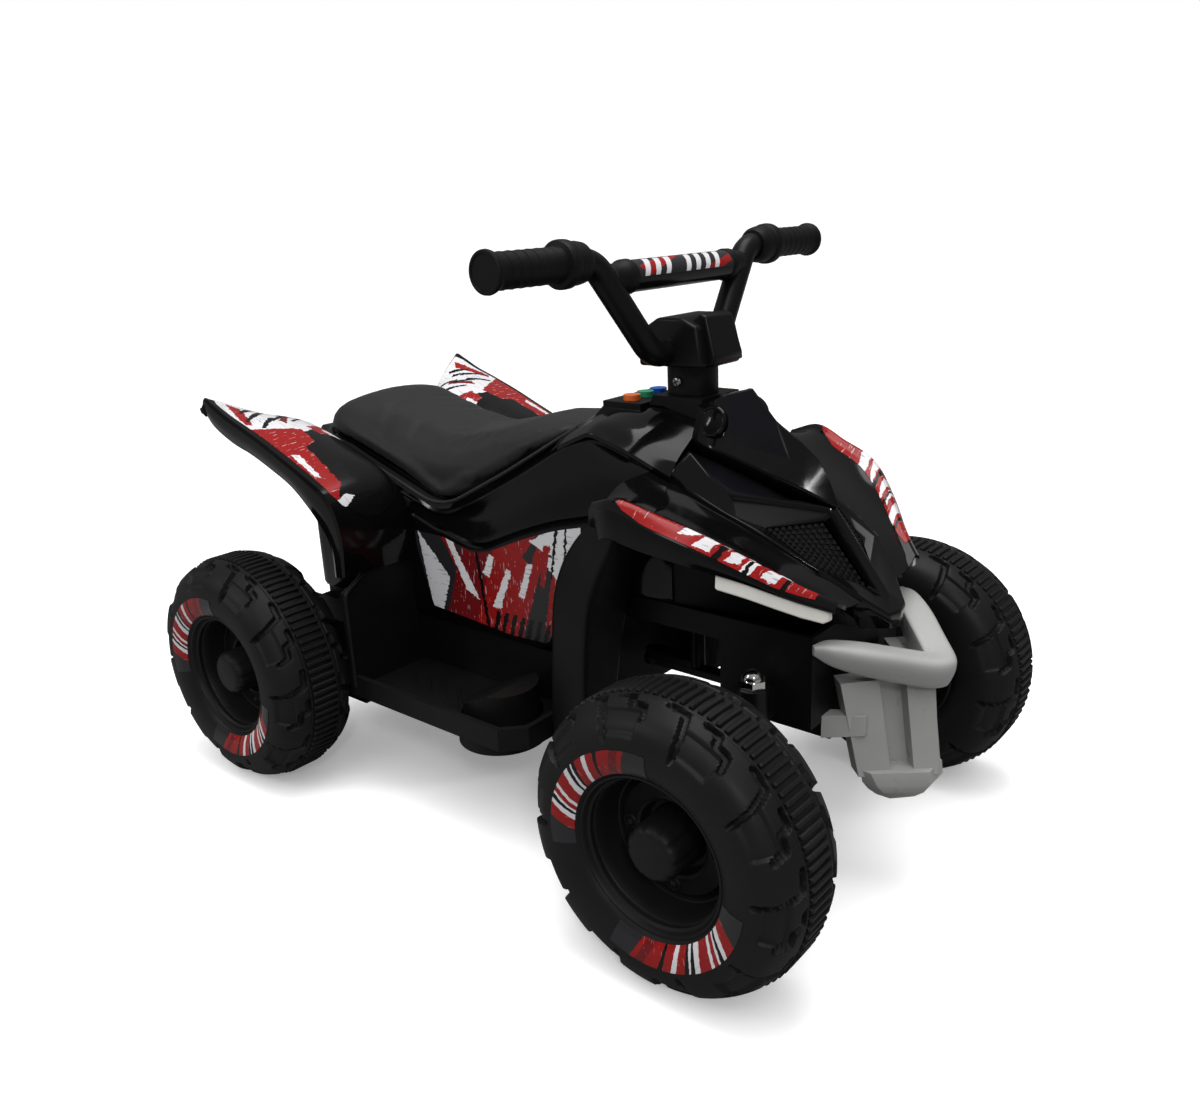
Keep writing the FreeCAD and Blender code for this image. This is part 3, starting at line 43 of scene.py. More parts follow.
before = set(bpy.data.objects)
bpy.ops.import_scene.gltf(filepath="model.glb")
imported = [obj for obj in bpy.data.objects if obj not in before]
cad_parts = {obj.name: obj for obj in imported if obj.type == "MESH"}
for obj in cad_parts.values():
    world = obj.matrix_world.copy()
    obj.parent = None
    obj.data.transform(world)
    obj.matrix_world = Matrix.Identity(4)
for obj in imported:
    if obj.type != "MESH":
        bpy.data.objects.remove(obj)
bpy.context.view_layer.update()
MM = 0.001

AXLE_Z = 110.0
REAR_X = -252.25
FRONT_X = 247.75
WHEEL_Y = 183.0


# Curves, grids and shapes, in millimetres

def spline(points, steps, sharp=()):
    """A smooth run through points along the first axis; the sharp ones stay corners."""
    p = np.asarray(points, float)
    last = len(p) - 1
    made = []
    for i in range(last):
        a = p[i]
        b = p[i + 1]
        before = p[i - 1] if i > 0 and i not in sharp else 2 * a - b
        after = p[i + 2] if i + 1 < last and i + 1 not in sharp else 2 * b - a
        leave = (b - before) / 2
        arrive = (after - a) / 2
        for k in range(steps):
            t = k / steps
            made.append((2 * t**3 - 3 * t**2 + 1) * a + (t**3 - 2 * t**2 + t) * leave
                        + (3 * t**2 - 2 * t**3) * b + (t**3 - t**2) * arrive)
    made.append(p[last])
    return np.array(made)


def patch(rows, steps_u, steps_v, sharp_u=(), sharp_v=()):
    """A grid of points through rows of control points."""
    along = spline(rows, steps_u, sharp_u)
    return np.swapaxes(spline(np.swapaxes(along, 0, 1), steps_v, sharp_v), 0, 1)


def grid_normals(grid):
    """Unit normals of a grid of points."""
    across = np.cross(np.gradient(grid, axis=0), np.gradient(grid, axis=1))
    size = np.linalg.norm(across, axis=2, keepdims=True)
    return across / np.maximum(size, 1e-9)


def grid_faces(nu, nv, wrap_u=False, wrap_v=False):
    """Quads over a grid of nu by nv points."""
    rows = np.arange(nu if wrap_u else nu - 1)
    columns = np.arange(nv if wrap_v else nv - 1)
    i, j = (index.ravel() for index in np.meshgrid(rows, columns, indexing="ij"))
    k = (i + 1) % nu
    m = (j + 1) % nv
    return np.stack([i * nv + j, k * nv + j, k * nv + m, i * nv + m], axis=1).tolist()


class Shape:
    """Points, faces, finish numbers and sticker coordinates of one mesh."""

    def __init__(self):
        self.points = []
        self.faces = []
        self.finish = []
        self.uv = []

    def add(self, points, faces, finish=0, uv=None):
        """Adds an island; uv holds one pair for each point."""
        start = len(self.points)
        points = np.asarray(points, float).reshape(-1, 3)
        spots = np.zeros((len(points), 2)) if uv is None else np.asarray(uv).reshape(-1, 2)
        self.points.extend(points.tolist())
        self.uv.extend(spots.tolist())
        for face in faces:
            self.faces.append([start + v for v in face])
            self.finish.append(finish)
        return self

    def shell(self, grid, thick, lift=0.0, uv=None):
        """A wall over a grid, closed round its edge. The grid's normals point out."""
        nu, nv = grid.shape[:2]
        normal = grid_normals(grid)
        outer = grid + normal * lift
        inner = grid + normal * (lift - thick)
        count = nu * nv
        faces = grid_faces(nu, nv)
        faces += [[count + v for v in reversed(face)] for face in faces]
        edge = list(range(nv))
        edge += [i * nv + nv - 1 for i in range(1, nu)]
        edge += [(nu - 1) * nv + j for j in range(nv - 2, -1, -1)]
        edge += [i * nv for i in range(nu - 2, 0, -1)]
        for a, b in zip(edge, edge[1:] + edge[:1]):
            faces.append([a, b, count + b, count + a])
        both = None if uv is None else np.concatenate([uv.reshape(-1, 2)] * 2)
        return self.add(np.concatenate([outer.reshape(-1, 3), inner.reshape(-1, 3)]), faces, uv=both)

    def loft(self, rings, finish=0):
        """Closed rings joined along the first axis, with flat ends."""
        rings = np.asarray(rings, float)
        nu, nv = rings.shape[:2]
        faces = grid_faces(nu, nv, wrap_v=True)
        faces.append(list(range(nv)))
        faces.append([(nu - 1) * nv + j for j in reversed(range(nv))])
        return self.add(rings, faces, finish)

    def lathe(self, profile, centre, along, steps, lobes=None):
        """Turns (radius, height) pairs round an axis; lobes scales the radius by turn and height."""
        along = np.asarray(along, float)
        side = np.cross(along, (0.0, 0.0, 1.0))
        if np.linalg.norm(side) < 1e-6:
            side = np.array((1.0, 0.0, 0.0))
        side /= np.linalg.norm(side)
        other = np.cross(along, side)
        turn = np.arange(steps) * 2 * math.pi / steps
        rings = []
        for radius, height in profile:
            r = np.full(steps, float(radius))
            if lobes is not None:
                r = r * lobes(turn, height)
            rings.append(np.asarray(centre) + along * height
                         + np.outer(r * np.cos(turn), side) + np.outer(r * np.sin(turn), other))
        return self.loft(rings)

    def tube(self, path, radius, sides):
        """A round bar along a path."""
        path = np.asarray(path, float)
        ahead = np.gradient(path, axis=0)
        ahead /= np.linalg.norm(ahead, axis=1, keepdims=True)
        up = np.array((0.0, 0.0, 1.0)) if abs(ahead[0][2]) < 0.9 else np.array((1.0, 0.0, 0.0))
        turn = np.arange(sides) * 2 * math.pi / sides
        rings = []
        for here, way in zip(path, ahead):
            up = up - way * np.dot(up, way)
            up /= np.linalg.norm(up)
            side = np.cross(way, up)
            rings.append(here + np.outer(radius * np.cos(turn), side) + np.outer(radius * np.sin(turn), up))
        return self.loft(rings)

    def slab(self, corners, push, finish=0):
        """A flat outline pushed along a vector."""
        corners = np.asarray(corners, float)
        return self.loft([corners, corners + np.asarray(push, float)], finish)

    def mirrored(self):
        """The same shape on the other side of the bike."""
        other = Shape()
        other.points = [[x, -y, z] for x, y, z in self.points]
        other.faces = [list(reversed(face)) for face in self.faces]
        other.finish = list(self.finish)
        other.uv = list(self.uv)
        return other

    def join(self, other):
        """Takes in another shape's islands."""
        start = len(self.points)
        self.points += other.points
        self.uv += other.uv
        self.faces += [[start + v for v in face] for face in other.faces]
        self.finish += other.finish
        return self


def mesh_of(shape, name):
    """A mesh in metres with outward normals, from a shape."""
    mesh = bpy.data.meshes.new(name)
    points = np.asarray(shape.points) * MM
    mesh.from_pydata(points.tolist(), [], shape.faces)
    mesh.polygons.foreach_set("material_index", shape.finish)
    layer = mesh.uv_layers.new(name="panel")
    ends = np.zeros(len(mesh.loops), int)
    mesh.loops.foreach_get("vertex_index", ends)
    layer.data.foreach_set("uv", np.asarray(shape.uv)[ends].ravel())
    work = bmesh.new()
    work.from_mesh(mesh)
    bmesh.ops.remove_doubles(work, verts=work.verts, dist=1e-6)
    bmesh.ops.recalc_face_normals(work, faces=work.faces)
    work.to_mesh(mesh)
    work.free()
    mesh.update()
    return mesh


def placed(shape, name):
    """A new object of a shape, linked into the scene."""
    obj = bpy.data.objects.new(name, mesh_of(shape, name))
    bpy.context.scene.collection.objects.link(obj)
    return obj


def piece(shape, name, body, finishes, stands_for=(), bevel=0.0, sharp=35.0, segments=2):
    """Makes the object of a shape, dresses it and sets it on its body."""
    obj = placed(shape, name)
    for look in finishes:
        obj.data.materials.append(look)
    settle(obj, bevel, sharp, segments)
    return seat_on(obj, body, stands_for)


def settle(obj, bevel=0.0, sharp=35.0, segments=2):
    """Shades a piece smooth between edges past an angle, and eases those edges by a bevel."""
    mesh = obj.data
    mesh.polygons.foreach_set("use_smooth", [True] * len(mesh.polygons))
    mesh.set_sharp_from_angle(angle=math.radians(sharp))
    if bevel:
        edge = obj.modifiers.new("edges", "BEVEL")
        edge.width = bevel * MM
        edge.segments = segments
        edge.limit_method = "ANGLE"
        edge.angle_limit = math.radians(sharp)
        edge.harden_normals = False


def bake(obj):
    """Puts the modifiers' result into the mesh and removes them."""
    graph = bpy.context.evaluated_depsgraph_get()
    mesh = bpy.data.meshes.new_from_object(obj.evaluated_get(graph))
    obj.modifiers.clear()
    obj.data = mesh


def seat_on(obj, body, stands_for=()):
    """Rides and stands for CAD nodes."""
    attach(obj, body)
    if stands_for:
        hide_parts(*stands_for)
    return obj


# Finishes

def feed(tree, socket, value):
    """Links an input to another node's output, or sets its value."""
    if isinstance(value, bpy.types.NodeSocket):
        tree.links.new(value, socket)
    else:
        socket.default_value = value


def new_node(tree, kind, inputs, **settings):
    """Adds a node to a tree, sets it and feeds its inputs; gives its outputs."""
    node = tree.nodes.new(kind)
    for key, value in settings.items():
        setattr(node, key, value)
    for key, value in inputs.items():
        feed(tree, node.inputs[key], value)
    return node.outputs


class Finish:
    """A material and short calls for its nodes."""

    def __init__(self, name):
        self.material = bpy.data.materials.new(name)
        self.material.use_nodes = True
        self.tree = self.material.node_tree
        self.shader = self.tree.nodes["Principled BSDF"]
        place = self.tree.nodes.new("ShaderNodeTexCoord")
        self.spot = place.outputs["Object"]
        self.panel = place.outputs["UV"]

    def add(self, kind, inputs, out=0, **settings):
        """Adds a node; inputs are sockets to link or values to set."""
        return new_node(self.tree, "ShaderNode" + kind, inputs, **settings)[out]

    def noise(self, scale, detail, where=None):
        """Cloudy noise, over the piece or at given coordinates."""
        return self.add("TexNoise", {"Vector": where or self.spot, "Scale": scale, "Detail": detail}, "Fac")

    def stretch(self, scale, turn=(0, 0, 0), where=None):
        """Coordinates scaled and turned."""
        return self.add("Mapping", {"Vector": where or self.spot, "Scale": scale, "Rotation": turn})

    def math(self, operation, a, b):
        """One sum on two numbers."""
        return self.add("Math", {0: a, 1: b}, operation=operation)

    def span(self, value, low, high, to_low, to_high):
        """A number taken from one range to another."""
        return self.add("MapRange", {"Value": value, "From Min": low, "From Max": high,
                                     "To Min": to_low, "To Max": to_high})

    def mix(self, share, a, b):
        """One colour over another by a share."""
        return self.add("Mix", {0: share, 6: a, 7: b}, 2, data_type="RGBA")

    def ramp(self, value, *stops):
        """A colour ramp from (place, colour) pairs."""
        node = self.tree.nodes.new("ShaderNodeValToRGB")
        points = node.color_ramp.elements
        for point, (place, colour) in zip(points, stops):
            point.position = place
            point.color = tint(colour)
        self.tree.links.new(value, node.inputs["Fac"])
        return node.outputs["Color"]

    def bump(self, height, depth, strength):
        """Raises the surface by a height field, depth in millimetres."""
        return self.add("Bump", {"Height": height, "Distance": depth * MM, "Strength": strength})

    def dress(self, **sockets):
        """Feeds the shader's own sockets."""
        for key, value in sockets.items():
            socket = self.shader.inputs[key.replace("_", " ").title().replace("Ior", "IOR")]
            feed(self.tree, socket, value)
        return self.material


def tint(value):
    """A grey number or three numbers as a colour with alpha."""
    if isinstance(value, (int, float)):
        return (value, value, value, 1.0)
    return (value[0], value[1], value[2], 1.0)


def scaled(colour, factor):
    """A colour with each of its parts multiplied."""
    return tuple(c * factor for c in colour)


def gloss_plastic(name, dark, light, polish, shine=0.5):
    """Injection-moulded gloss plastic: faint ripple, dust and polish marks."""
    f = Finish(name)
    cloud = f.noise(14.0, 4.0)
    dust = f.noise(900.0, 2.0)
    specks = f.span(dust, 0.68, 0.8, 0.0, 0.5)
    dusty = tint([c * 1.3 + 0.004 for c in light])
    colour = f.mix(specks, f.ramp(cloud, (0.3, dark), (0.7, light)), dusty)
    ripple = f.bump(f.noise(70.0, 1.0), 0.25, 0.25)
    rough = f.math("ADD", f.span(f.noise(40.0, 5.0), 0.3, 0.75, polish, polish + 0.1),
                   f.math("MULTIPLY", specks, 0.2))
    return f.dress(base_color=colour, roughness=rough, normal=ripple, specular_ior_level=shine)


def matt_plastic(name, dark, light, rough, grain=1900.0, depth=0.05):
    """Grained matt plastic with paler rubbed patches; dark and light are greys."""
    f = Finish(name)
    cloud = f.noise(22.0, 6.0)
    fine = f.noise(grain, 2.0)
    shade = f.ramp(cloud, (0.3, dark), (0.72, light))
    colour = f.mix(f.span(fine, 0.35, 0.75, 0.0, 0.35), shade, tint(light * 1.6))
    wear = f.span(f.noise(9.0, 8.0), 0.45, 0.75, rough, rough + 0.14)
    return f.dress(base_color=colour, roughness=wear, normal=f.bump(fine, depth, 0.7),
                   specular_ior_level=0.2)


def vinyl(name):
    """Black seat vinyl with a leather-like grain and a soft sheen."""
    f = Finish(name)
    pores = f.add("TexVoronoi", {"Vector": f.spot, "Scale": 620.0}, "Distance", feature="DISTANCE_TO_EDGE")
    grain = f.span(pores, 0.0, 0.12, 0.0, 1.0)
    fine = f.noise(1500.0, 3.0)
    cloud = f.noise(13.0, 5.0)
    shade = f.ramp(cloud, (0.3, 0.0056), (0.7, 0.009))
    colour = f.mix(f.math("MULTIPLY", grain, 0.5), shade, tint(0.0135))
    height = f.math("ADD", f.math("MULTIPLY", grain, 0.8), f.math("MULTIPLY", fine, 0.4))
    rough = f.span(cloud, 0.3, 0.7, 0.42, 0.54)
    return f.dress(base_color=colour, roughness=rough, normal=f.bump(height, 0.14, 0.6), sheen_weight=0.05,
                   sheen_roughness=0.4, specular_ior_level=0.35)


def metal(name, colour, rough):
    """Plated steel with fine turning marks."""
    f = Finish(name)
    turned = f.noise(700.0, 2.0, f.stretch((1.0, 6.0, 1.0)))
    shade = f.ramp(f.noise(60.0, 4.0), (0.3, scaled(colour, 0.75)), (0.7, colour))
    marks = f.span(turned, 0.3, 0.7, rough, rough + 0.15)
    return f.dress(base_color=shade, metallic=1.0, roughness=marks, normal=f.bump(turned, 0.02, 0.4))


def inside_shard(f, spot, corners):
    """1 inside a convex outline of panel coordinates, 0 outside."""
    inside = None
    centre = np.mean(corners, axis=0)
    for (u0, v0), (u1, v1) in zip(corners, corners[1:] + corners[:1]):
        across = np.array((v0 - v1, u1 - u0))
        across = across / np.linalg.norm(across)
        if np.dot(across, centre - (u0, v0)) < 0:
            across = -across
        reach = f.add("VectorMath", {0: spot, 1: (across[0], across[1], 0.0)}, "Value",
                      operation="DOT_PRODUCT")
        side = f.math("GREATER_THAN", reach, float(np.dot(across, (u0, v0))))
        inside = side if inside is None else f.math("MULTIPLY", inside, side)
    return inside


def shards(name, ground, pieces, ragged=1.2, flecks=0.5):
    """A printed film of straight-sided shards with dry-brushed edges, in panel units of 100 mm."""
    f = Finish(name)
    push = f.add("TexNoise", {"Vector": f.panel, "Scale": 26.0, "Detail": 6.0}, "Color")
    push = f.add("VectorMath", {0: push, 1: (0.5, 0.5, 0.5)}, operation="SUBTRACT")
    push = f.add("VectorMath", {0: push, "Scale": ragged * 0.05}, operation="SCALE")
    spot = f.add("VectorMath", {0: f.panel, 1: push}, operation="ADD")
    colour = tint(ground)
    for shade, corners in pieces:
        colour = f.mix(inside_shard(f, spot, corners), colour, tint(shade))
    red = f.add("SeparateColor", {"Color": colour}, "Red")
    bright = f.math("MULTIPLY", f.math("GREATER_THAN", red, 0.1), flecks)
    dry = f.noise(1.0, 5.0, f.stretch((6.0, 60.0, 1.0), (0, 0, 0.5), f.panel))
    colour = f.mix(f.math("MULTIPLY", f.math("GREATER_THAN", dry, 0.62), bright), colour, tint(0.02))
    wisp = f.noise(1.0, 4.0, f.stretch((70.0, 9.0, 1.0), (0, 0, 0.7), f.panel))
    colour = f.mix(f.math("MULTIPLY", f.math("GREATER_THAN", wisp, 0.65), bright), colour, tint(WHITE))
    rough = f.span(f.noise(60.0, 4.0), 0.3, 0.7, 0.14, 0.26)
    return f.dress(base_color=colour, roughness=rough, normal=f.bump(f.noise(70.0, 1.0), 0.25, 0.2),
                   specular_ior_level=0.25)


RED = (0.25, 0.007, 0.007)
DEEP_RED = (0.13, 0.006, 0.008)
WHITE = (0.62, 0.61, 0.63)
CHARCOAL = (0.018, 0.018, 0.02)
INK = (0.003, 0.003, 0.0035)

FINISH_MAKERS = {
   
    "gloss_body": lambda name, s: gloss_plastic(
        name, s.body_colour, scaled(s.body_colour, 1.6), 0.06, 0.25),
    "matt_body": lambda name, s: matt_plastic(name, 0.0024, 0.004, 0.42),
    "wheel_plastic": lambda name, s: matt_plastic(name, 0.0045, 0.0072, 0.46),
    "seat_vinyl": lambda name, s: vinyl(name),
    "bumper_grey": lambda name, s: gloss_plastic(
        name, s.bumper_colour, scaled(s.bumper_colour, 1.12), 0.26),
    "light_white": lambda name, s: gloss_plastic(name, (0.7, 0.69, 0.64), (0.76, 0.75, 0.7), 0.3),
    "steel": lambda name, s: metal(name, (0.42, 0.42, 0.42), 0.28),
    "bright_nut": lambda name, s: metal(name, (0.82, 0.82, 0.8), 0.07),
    "bar_black": lambda name, s: matt_plastic(name, 0.0022, 0.004, 0.34, 2400.0, 0.03),
    "grip_black": lambda name, s: matt_plastic(name, 0.002, 0.0035, 0.5, 1500.0, 0.05),
    "gear_nylon": lambda name, s: matt_plastic(name, 0.55, 0.62, 0.4),
    "battery_grey": lambda name, s: matt_plastic(name, 0.08, 0.11, 0.5),
    "button_orange": lambda name, s: gloss_plastic(name, (0.75, 0.13, 0.02), (0.8, 0.16, 0.03), 0.25),
    "button_green": lambda name, s: gloss_plastic(name, (0.02, 0.28, 0.14), (0.03, 0.32, 0.16), 0.25),
    "button_blue": lambda name, s: gloss_plastic(name, (0.01, 0.09, 0.5), (0.015, 0.11, 0.55), 0.25),
    "dark_lens": lambda name, s: gloss_plastic(
        name, (0.004, 0.004, 0.005), (0.006, 0.006, 0.008), 0.1, 0.08),
    "tyre_film": lambda name, s: shards(name, CHARCOAL, TYRE_SHARDS, 0.35, 0.15),
    "flank_film": lambda name, s: shards(name, CHARCOAL, FLANK_SHARDS),
    "front_film": lambda name, s: shards(name, INK, FRONT_SHARDS),
    "rear_film": lambda name, s: shards(name, INK, REAR_SHARDS),
    "pad_film": lambda name, s: shards(name, INK, PAD_SHARDS, 0.3, 0.1),
}

TYRE_WHITES = ((0.2, 0.09), (0.33, 0.03), (0.46, 0.13), (0.66, 0.04))
TYRE_GAPS = (0.25, 0.52, 0.57, 0.78)
TYRE_SHARDS = [
    (RED, [(0.12, 0.0), (1.02, 0.0), (1.1, 0.2), (0.2, 0.2)]),
    *((WHITE, [(a, -0.02), (a + w, -0.02), (a + w + 0.1, 0.22), (a + 0.1, 0.22)]) for a, w in TYRE_WHITES),
    *((INK, [(a, -0.02), (a + 0.02, -0.02), (a + 0.12, 0.22), (a + 0.08, 0.22)]) for a in TYRE_GAPS),
    (DEEP_RED, [(0.9, 0.0), (1.0, 0.2), (1.06, 0.2), (0.98, 0.0)]),
]
FLANK_TICKS = (0.0, 0.1, 0.2, 0.3, 0.4, 0.5, 0.6)
FLANK_SHARDS = [
    (DEEP_RED, [(-0.95, 1.5), (-0.5, 1.5), (-0.1, 2.6), (-0.55, 2.6)]),
    (RED, [(-0.56, 1.5), (0.02, 1.5), (0.56, 2.9), (-0.16, 2.6)]),
    (RED, [(0.3, 1.6), (0.9, 2.2), (0.9, 2.9), (0.58, 2.9)]),
    (RED, [(-1.0, 2.5), (-0.82, 2.5), (-0.66, 2.1), (-0.74, 2.1)]),
    (WHITE, [(-1.24, 2.38), (-1.1, 1.6), (-0.98, 1.6), (-0.84, 1.98)]),
    (WHITE, [(-0.86, 2.36), (-0.8, 2.38), (-0.46, 1.84), (-0.62, 1.9)]),
    (INK, [(-0.5, 2.4), (-0.46, 2.4), (-0.34, 1.5), (-0.38, 1.5)]),
    (WHITE, [(-0.4, 2.1), (-0.3, 2.3), (-0.24, 2.28), (-0.32, 2.08)]),
    (WHITE, [(-0.3, 1.8), (-0.1, 2.2), (-0.04, 2.18), (-0.2, 1.8)]),
    (WHITE, [(0.02, 1.96), (0.16, 2.3), (0.22, 2.3), (0.1, 1.96)]),
    (CHARCOAL, [(0.1, 2.34), (0.3, 2.6), (0.36, 2.6), (0.2, 2.3)]),
    (WHITE, [(0.2, 2.5), (0.84, 2.9), (0.74, 2.5), (0.46, 2.4)]),
    (WHITE, [(0.34, 2.36), (0.7, 2.5), (0.7, 2.2), (0.5, 2.2)]),
    (INK, [(0.5, 2.7), (0.54, 2.7), (0.44, 2.2), (0.42, 2.2)]),
    (INK, [(0.62, 2.8), (0.65, 2.8), (0.58, 2.2), (0.56, 2.2)]),
    (RED, [(0.36, 2.5), (0.44, 2.5), (0.34, 2.1), (0.3, 2.14)]),
    *((INK, [(k - 0.34, 1.5), (k - 0.29, 1.5), (k - 0.2, 1.78), (k - 0.25, 1.78)]) for k in FLANK_TICKS),
]
FRONT_SHARDS = [
    (RED, [(0.0, 0.1), (0.0, -0.4), (1.6, -0.4), (1.6, 0.1)]),
    (WHITE, [(0.5, -0.05), (0.56, -0.3), (0.66, -0.3), (0.62, -0.1)]),
    (WHITE, [(0.62, -0.02), (0.72, -0.24), (0.8, -0.3), (0.74, -0.02)]),
    (INK, [(0.76, 0.1), (0.82, -0.4), (0.87, -0.4), (0.81, 0.1)]),
    (WHITE, [(0.86, -0.02), (0.9, -0.18), (1.0, -0.3), (0.96, -0.04)]),
    (WHITE, [(0.98, 0.02), (1.04, -0.2), (1.1, -0.2), (1.06, 0.02)]),
    (INK, [(1.0, 0.1), (1.05, -0.4), (1.08, -0.4), (1.03, 0.1)]),
    (WHITE, [(1.14, -0.02), (1.2, -0.24), (1.32, -0.3), (1.26, -0.02)]),
    (INK, [(1.3, 0.1), (1.35, -0.4), (1.39, -0.4), (1.34, 0.1)]),
]
REAR_CUTS = ((0.0, 0.0), (0.12, 0.04), (0.22, -0.06), (0.3, 0.16), (0.1, 0.3), (0.34, 0.34), (0.4, 0.0))
REAR_SHARDS = [
    (WHITE, [(-0.1, 0.1), (-0.1, -0.9), (0.7, -0.9), (0.92, -0.4), (0.66, 0.1)]),
    (RED, [(0.6, 0.1), (0.86, -0.4), (1.12, -0.36), (1.3, 0.1)]),
    (RED, [(1.0, 0.1), (1.06, -0.24), (1.74, -0.17), (2.02, 0.1)]),
    (RED, [(0.68, -0.9), (0.78, -0.5), (0.98, -0.52), (1.06, -0.9)]),
    (RED, [(0.04, -0.1), (0.1, -0.2), (0.6, -0.06), (0.56, 0.0)]),
    (DEEP_RED, [(0.3, -0.5), (0.34, -0.56), (0.7, -0.36), (0.6, -0.34)]),
    (WHITE, [(1.86, -0.14), (1.9, -0.18), (2.0, 0.02), (1.9, 0.02)]),
    (WHITE, [(1.2, -0.04), (1.24, -0.1), (1.62, -0.06), (1.58, -0.02)]),
    (WHITE, [(0.84, -0.62), (0.88, -0.7), (1.1, -0.74), (1.0, -0.62)]),
    *((INK, [(0.06 + k, -0.3 - s), (0.1 + k, -0.36 - s), (0.3 + k, -0.12 - s), (0.28 + k, -0.1 - s)])
      for k, s in REAR_CUTS),
]
PAD_TICKS = (0.0, 0.13, 0.26, 0.52, 0.65, 0.78, 0.91)
PAD_SHARDS = [
    (CHARCOAL, [(-0.7, -0.4), (0.7, -0.4), (0.7, 0.2), (-0.7, 0.2)]),
    (RED, [(-0.6, 0.0), (0.1, 0.16), (0.12, 0.12), (-0.5, -0.08)]),
    (RED, [(0.1, -0.1), (0.6, 0.02), (0.6, -0.04), (0.16, -0.16)]),
    *((WHITE, [(k - 0.6, -0.16), (k - 0.55, -0.16), (k - 0.42, 0.08), (k - 0.49, 0.08)])
      for k in PAD_TICKS),
]

made_finishes = {}


def finish(name):
    """A finish by name, made once."""
    if name not in made_finishes:
        made_finishes[name] = FINISH_MAKERS[name](name, bpy.context.scene.quad_bike)
    return made_finishes[name]


# Node trees for what repeats

def node_tree(name, sockets):
    """A new geometry tree with a shape in and out, and named inputs."""
    tree = bpy.data.node_groups.new(name, "GeometryNodeTree")
    tree.interface.new_socket("Shape", in_out="INPUT", socket_type="NodeSocketGeometry")
    for label, kind in sockets:
        tree.interface.new_socket(label, in_out="INPUT", socket_type="NodeSocket" + kind)
    tree.interface.new_socket("Shape", in_out="OUTPUT", socket_type="NodeSocketGeometry")
    given = tree.nodes.new("NodeGroupInput").outputs
    return tree, given, tree.nodes.new("NodeGroupOutput").inputs["Shape"]


def copies_on(tree, given, out, spots, shape, turn):
    """Ends a tree with copies of a shape on points, made real and given the finish."""
    copies = new_node(tree, "GeometryNodeInstanceOnPoints",
                      {"Points": spots, "Instance": shape, "Rotation": turn})[0]
    real = new_node(tree, "GeometryNodeRealizeInstances", {"Geometry": copies})[0]
    dressed = new_node(tree, "GeometryNodeSetMaterial", {"Geometry": real, "Material": given["Finish"]})[0]
    tree.links.new(dressed, out)
    return tree


def repeat_tree():
    """Copies of a shape stepped along an offset and turned step by step about a pivot."""
    name = "repeat along"
    if name in bpy.data.node_groups:
        return bpy.data.node_groups[name]
    tree, given, out = node_tree(name, [("Count", "Int"), ("Pivot", "Vector"), ("Offset", "Vector"),
                                        ("Turn", "Vector"), ("Finish", "Material")])
    spots = new_node(tree, "GeometryNodeMeshLine", {
        "Count": given["Count"], "Start Location": given["Pivot"], "Offset": given["Offset"]})[0]
    step = new_node(tree, "GeometryNodeInputIndex", {})[0]
    turn = new_node(tree, "ShaderNodeVectorMath", {0: given["Turn"], "Scale": step}, operation="SCALE")[0]
    return copies_on(tree, given, out, spots, given["Shape"], turn)


def stud_tree():
    """Low four-sided studs on the faces of a panel."""
    tree, given, out = node_tree("studs on panel", [("Width", "Float"), ("Rise", "Float"),
                                                    ("Finish", "Material")])
    spots = new_node(tree, "GeometryNodeMeshToPoints", {"Mesh": given["Shape"]}, mode="FACES")[0]
    facing = new_node(tree, "GeometryNodeInputNormal", {})[0]
    turn = new_node(tree, "FunctionNodeAlignRotationToVector", {"Vector": facing}, axis="Z")[0]
    top = new_node(tree, "ShaderNodeMath", {0: given["Width"], 1: 0.55}, operation="MULTIPLY")[0]
    stud = new_node(tree, "GeometryNodeMeshCone", {"Vertices": 4, "Radius Top": top, "Depth": given["Rise"],
                                                   "Radius Bottom": given["Width"]})[0]
    return copies_on(tree, given, out, spots, stud, turn)


def grown(obj, tree, values):
    """Runs a node tree on an object, its inputs set by name, and keeps the result as a plain mesh."""
    copies = obj.modifiers.new("copies", "NODES")
    copies.node_group = tree
    for item in tree.interface.items_tree:
        if item.in_out == "INPUT" and item.name in values:
            copies[item.identifier] = values[item.name]
    bpy.context.view_layer.update()
    bake(obj)


def repeated(shape, name, body, look, count, pivot, offset=(0, 0, 0), turn=(0, 0, 0), bevel=0.0):
    """A piece made of like copies of a shape, which is drawn about the pivot."""
    obj = placed(shape, name)
    grown(obj, repeat_tree(), {"Count": count, "Pivot": [v * MM for v in pivot],
                               "Offset": [v * MM for v in offset], "Turn": list(turn), "Finish": look})
    settle(obj, bevel)
    return seat_on(obj, body)


# Wheels

TYRE_HALF = [
    (33, 57), (37, 60), (40, 66), (41.6, 73), (42, 80), (41.4, 87), (39, 94), (34.5, 99.8), (28, 104),
    (21, 107), (14, 108.8), (7, 109.7), (0, 110),
]
RIM = [
    (0.01, -2), (25.5, -2), (26.5, 3), (27.5, 7), (29.5, 8), (31, 7), (42.5, 5.5), (44, 2), (46, 1.2),
    (47.2, 4.5), (48.5, 5), (49.5, 9), (51, 18), (51.4, 25.5), (52.3, 26.8), (53.6, 27), (54.4, 29),
    (55.4, 34), (56.4, 35.4), (58, 35.4), (58.8, 33.5), (58, 30), (54, 26), (53, -26), (56, -33),
    (54, -34), (50, -26), (47, -8), (20, -12), (0.01, -12),
]
CAP = [
    (0.01, 34), (14, 33.9), (16.6, 33.3), (18.8, 31.8), (20.2, 29.4), (20.8, 26), (20.9, 12), (21, 6),
    (22, 3), (22, -3), (0.01, -3),
]
LONG_GROOVE = [(2, 52), (4, 36), (8, 25), (10, 20), (22, 19)]
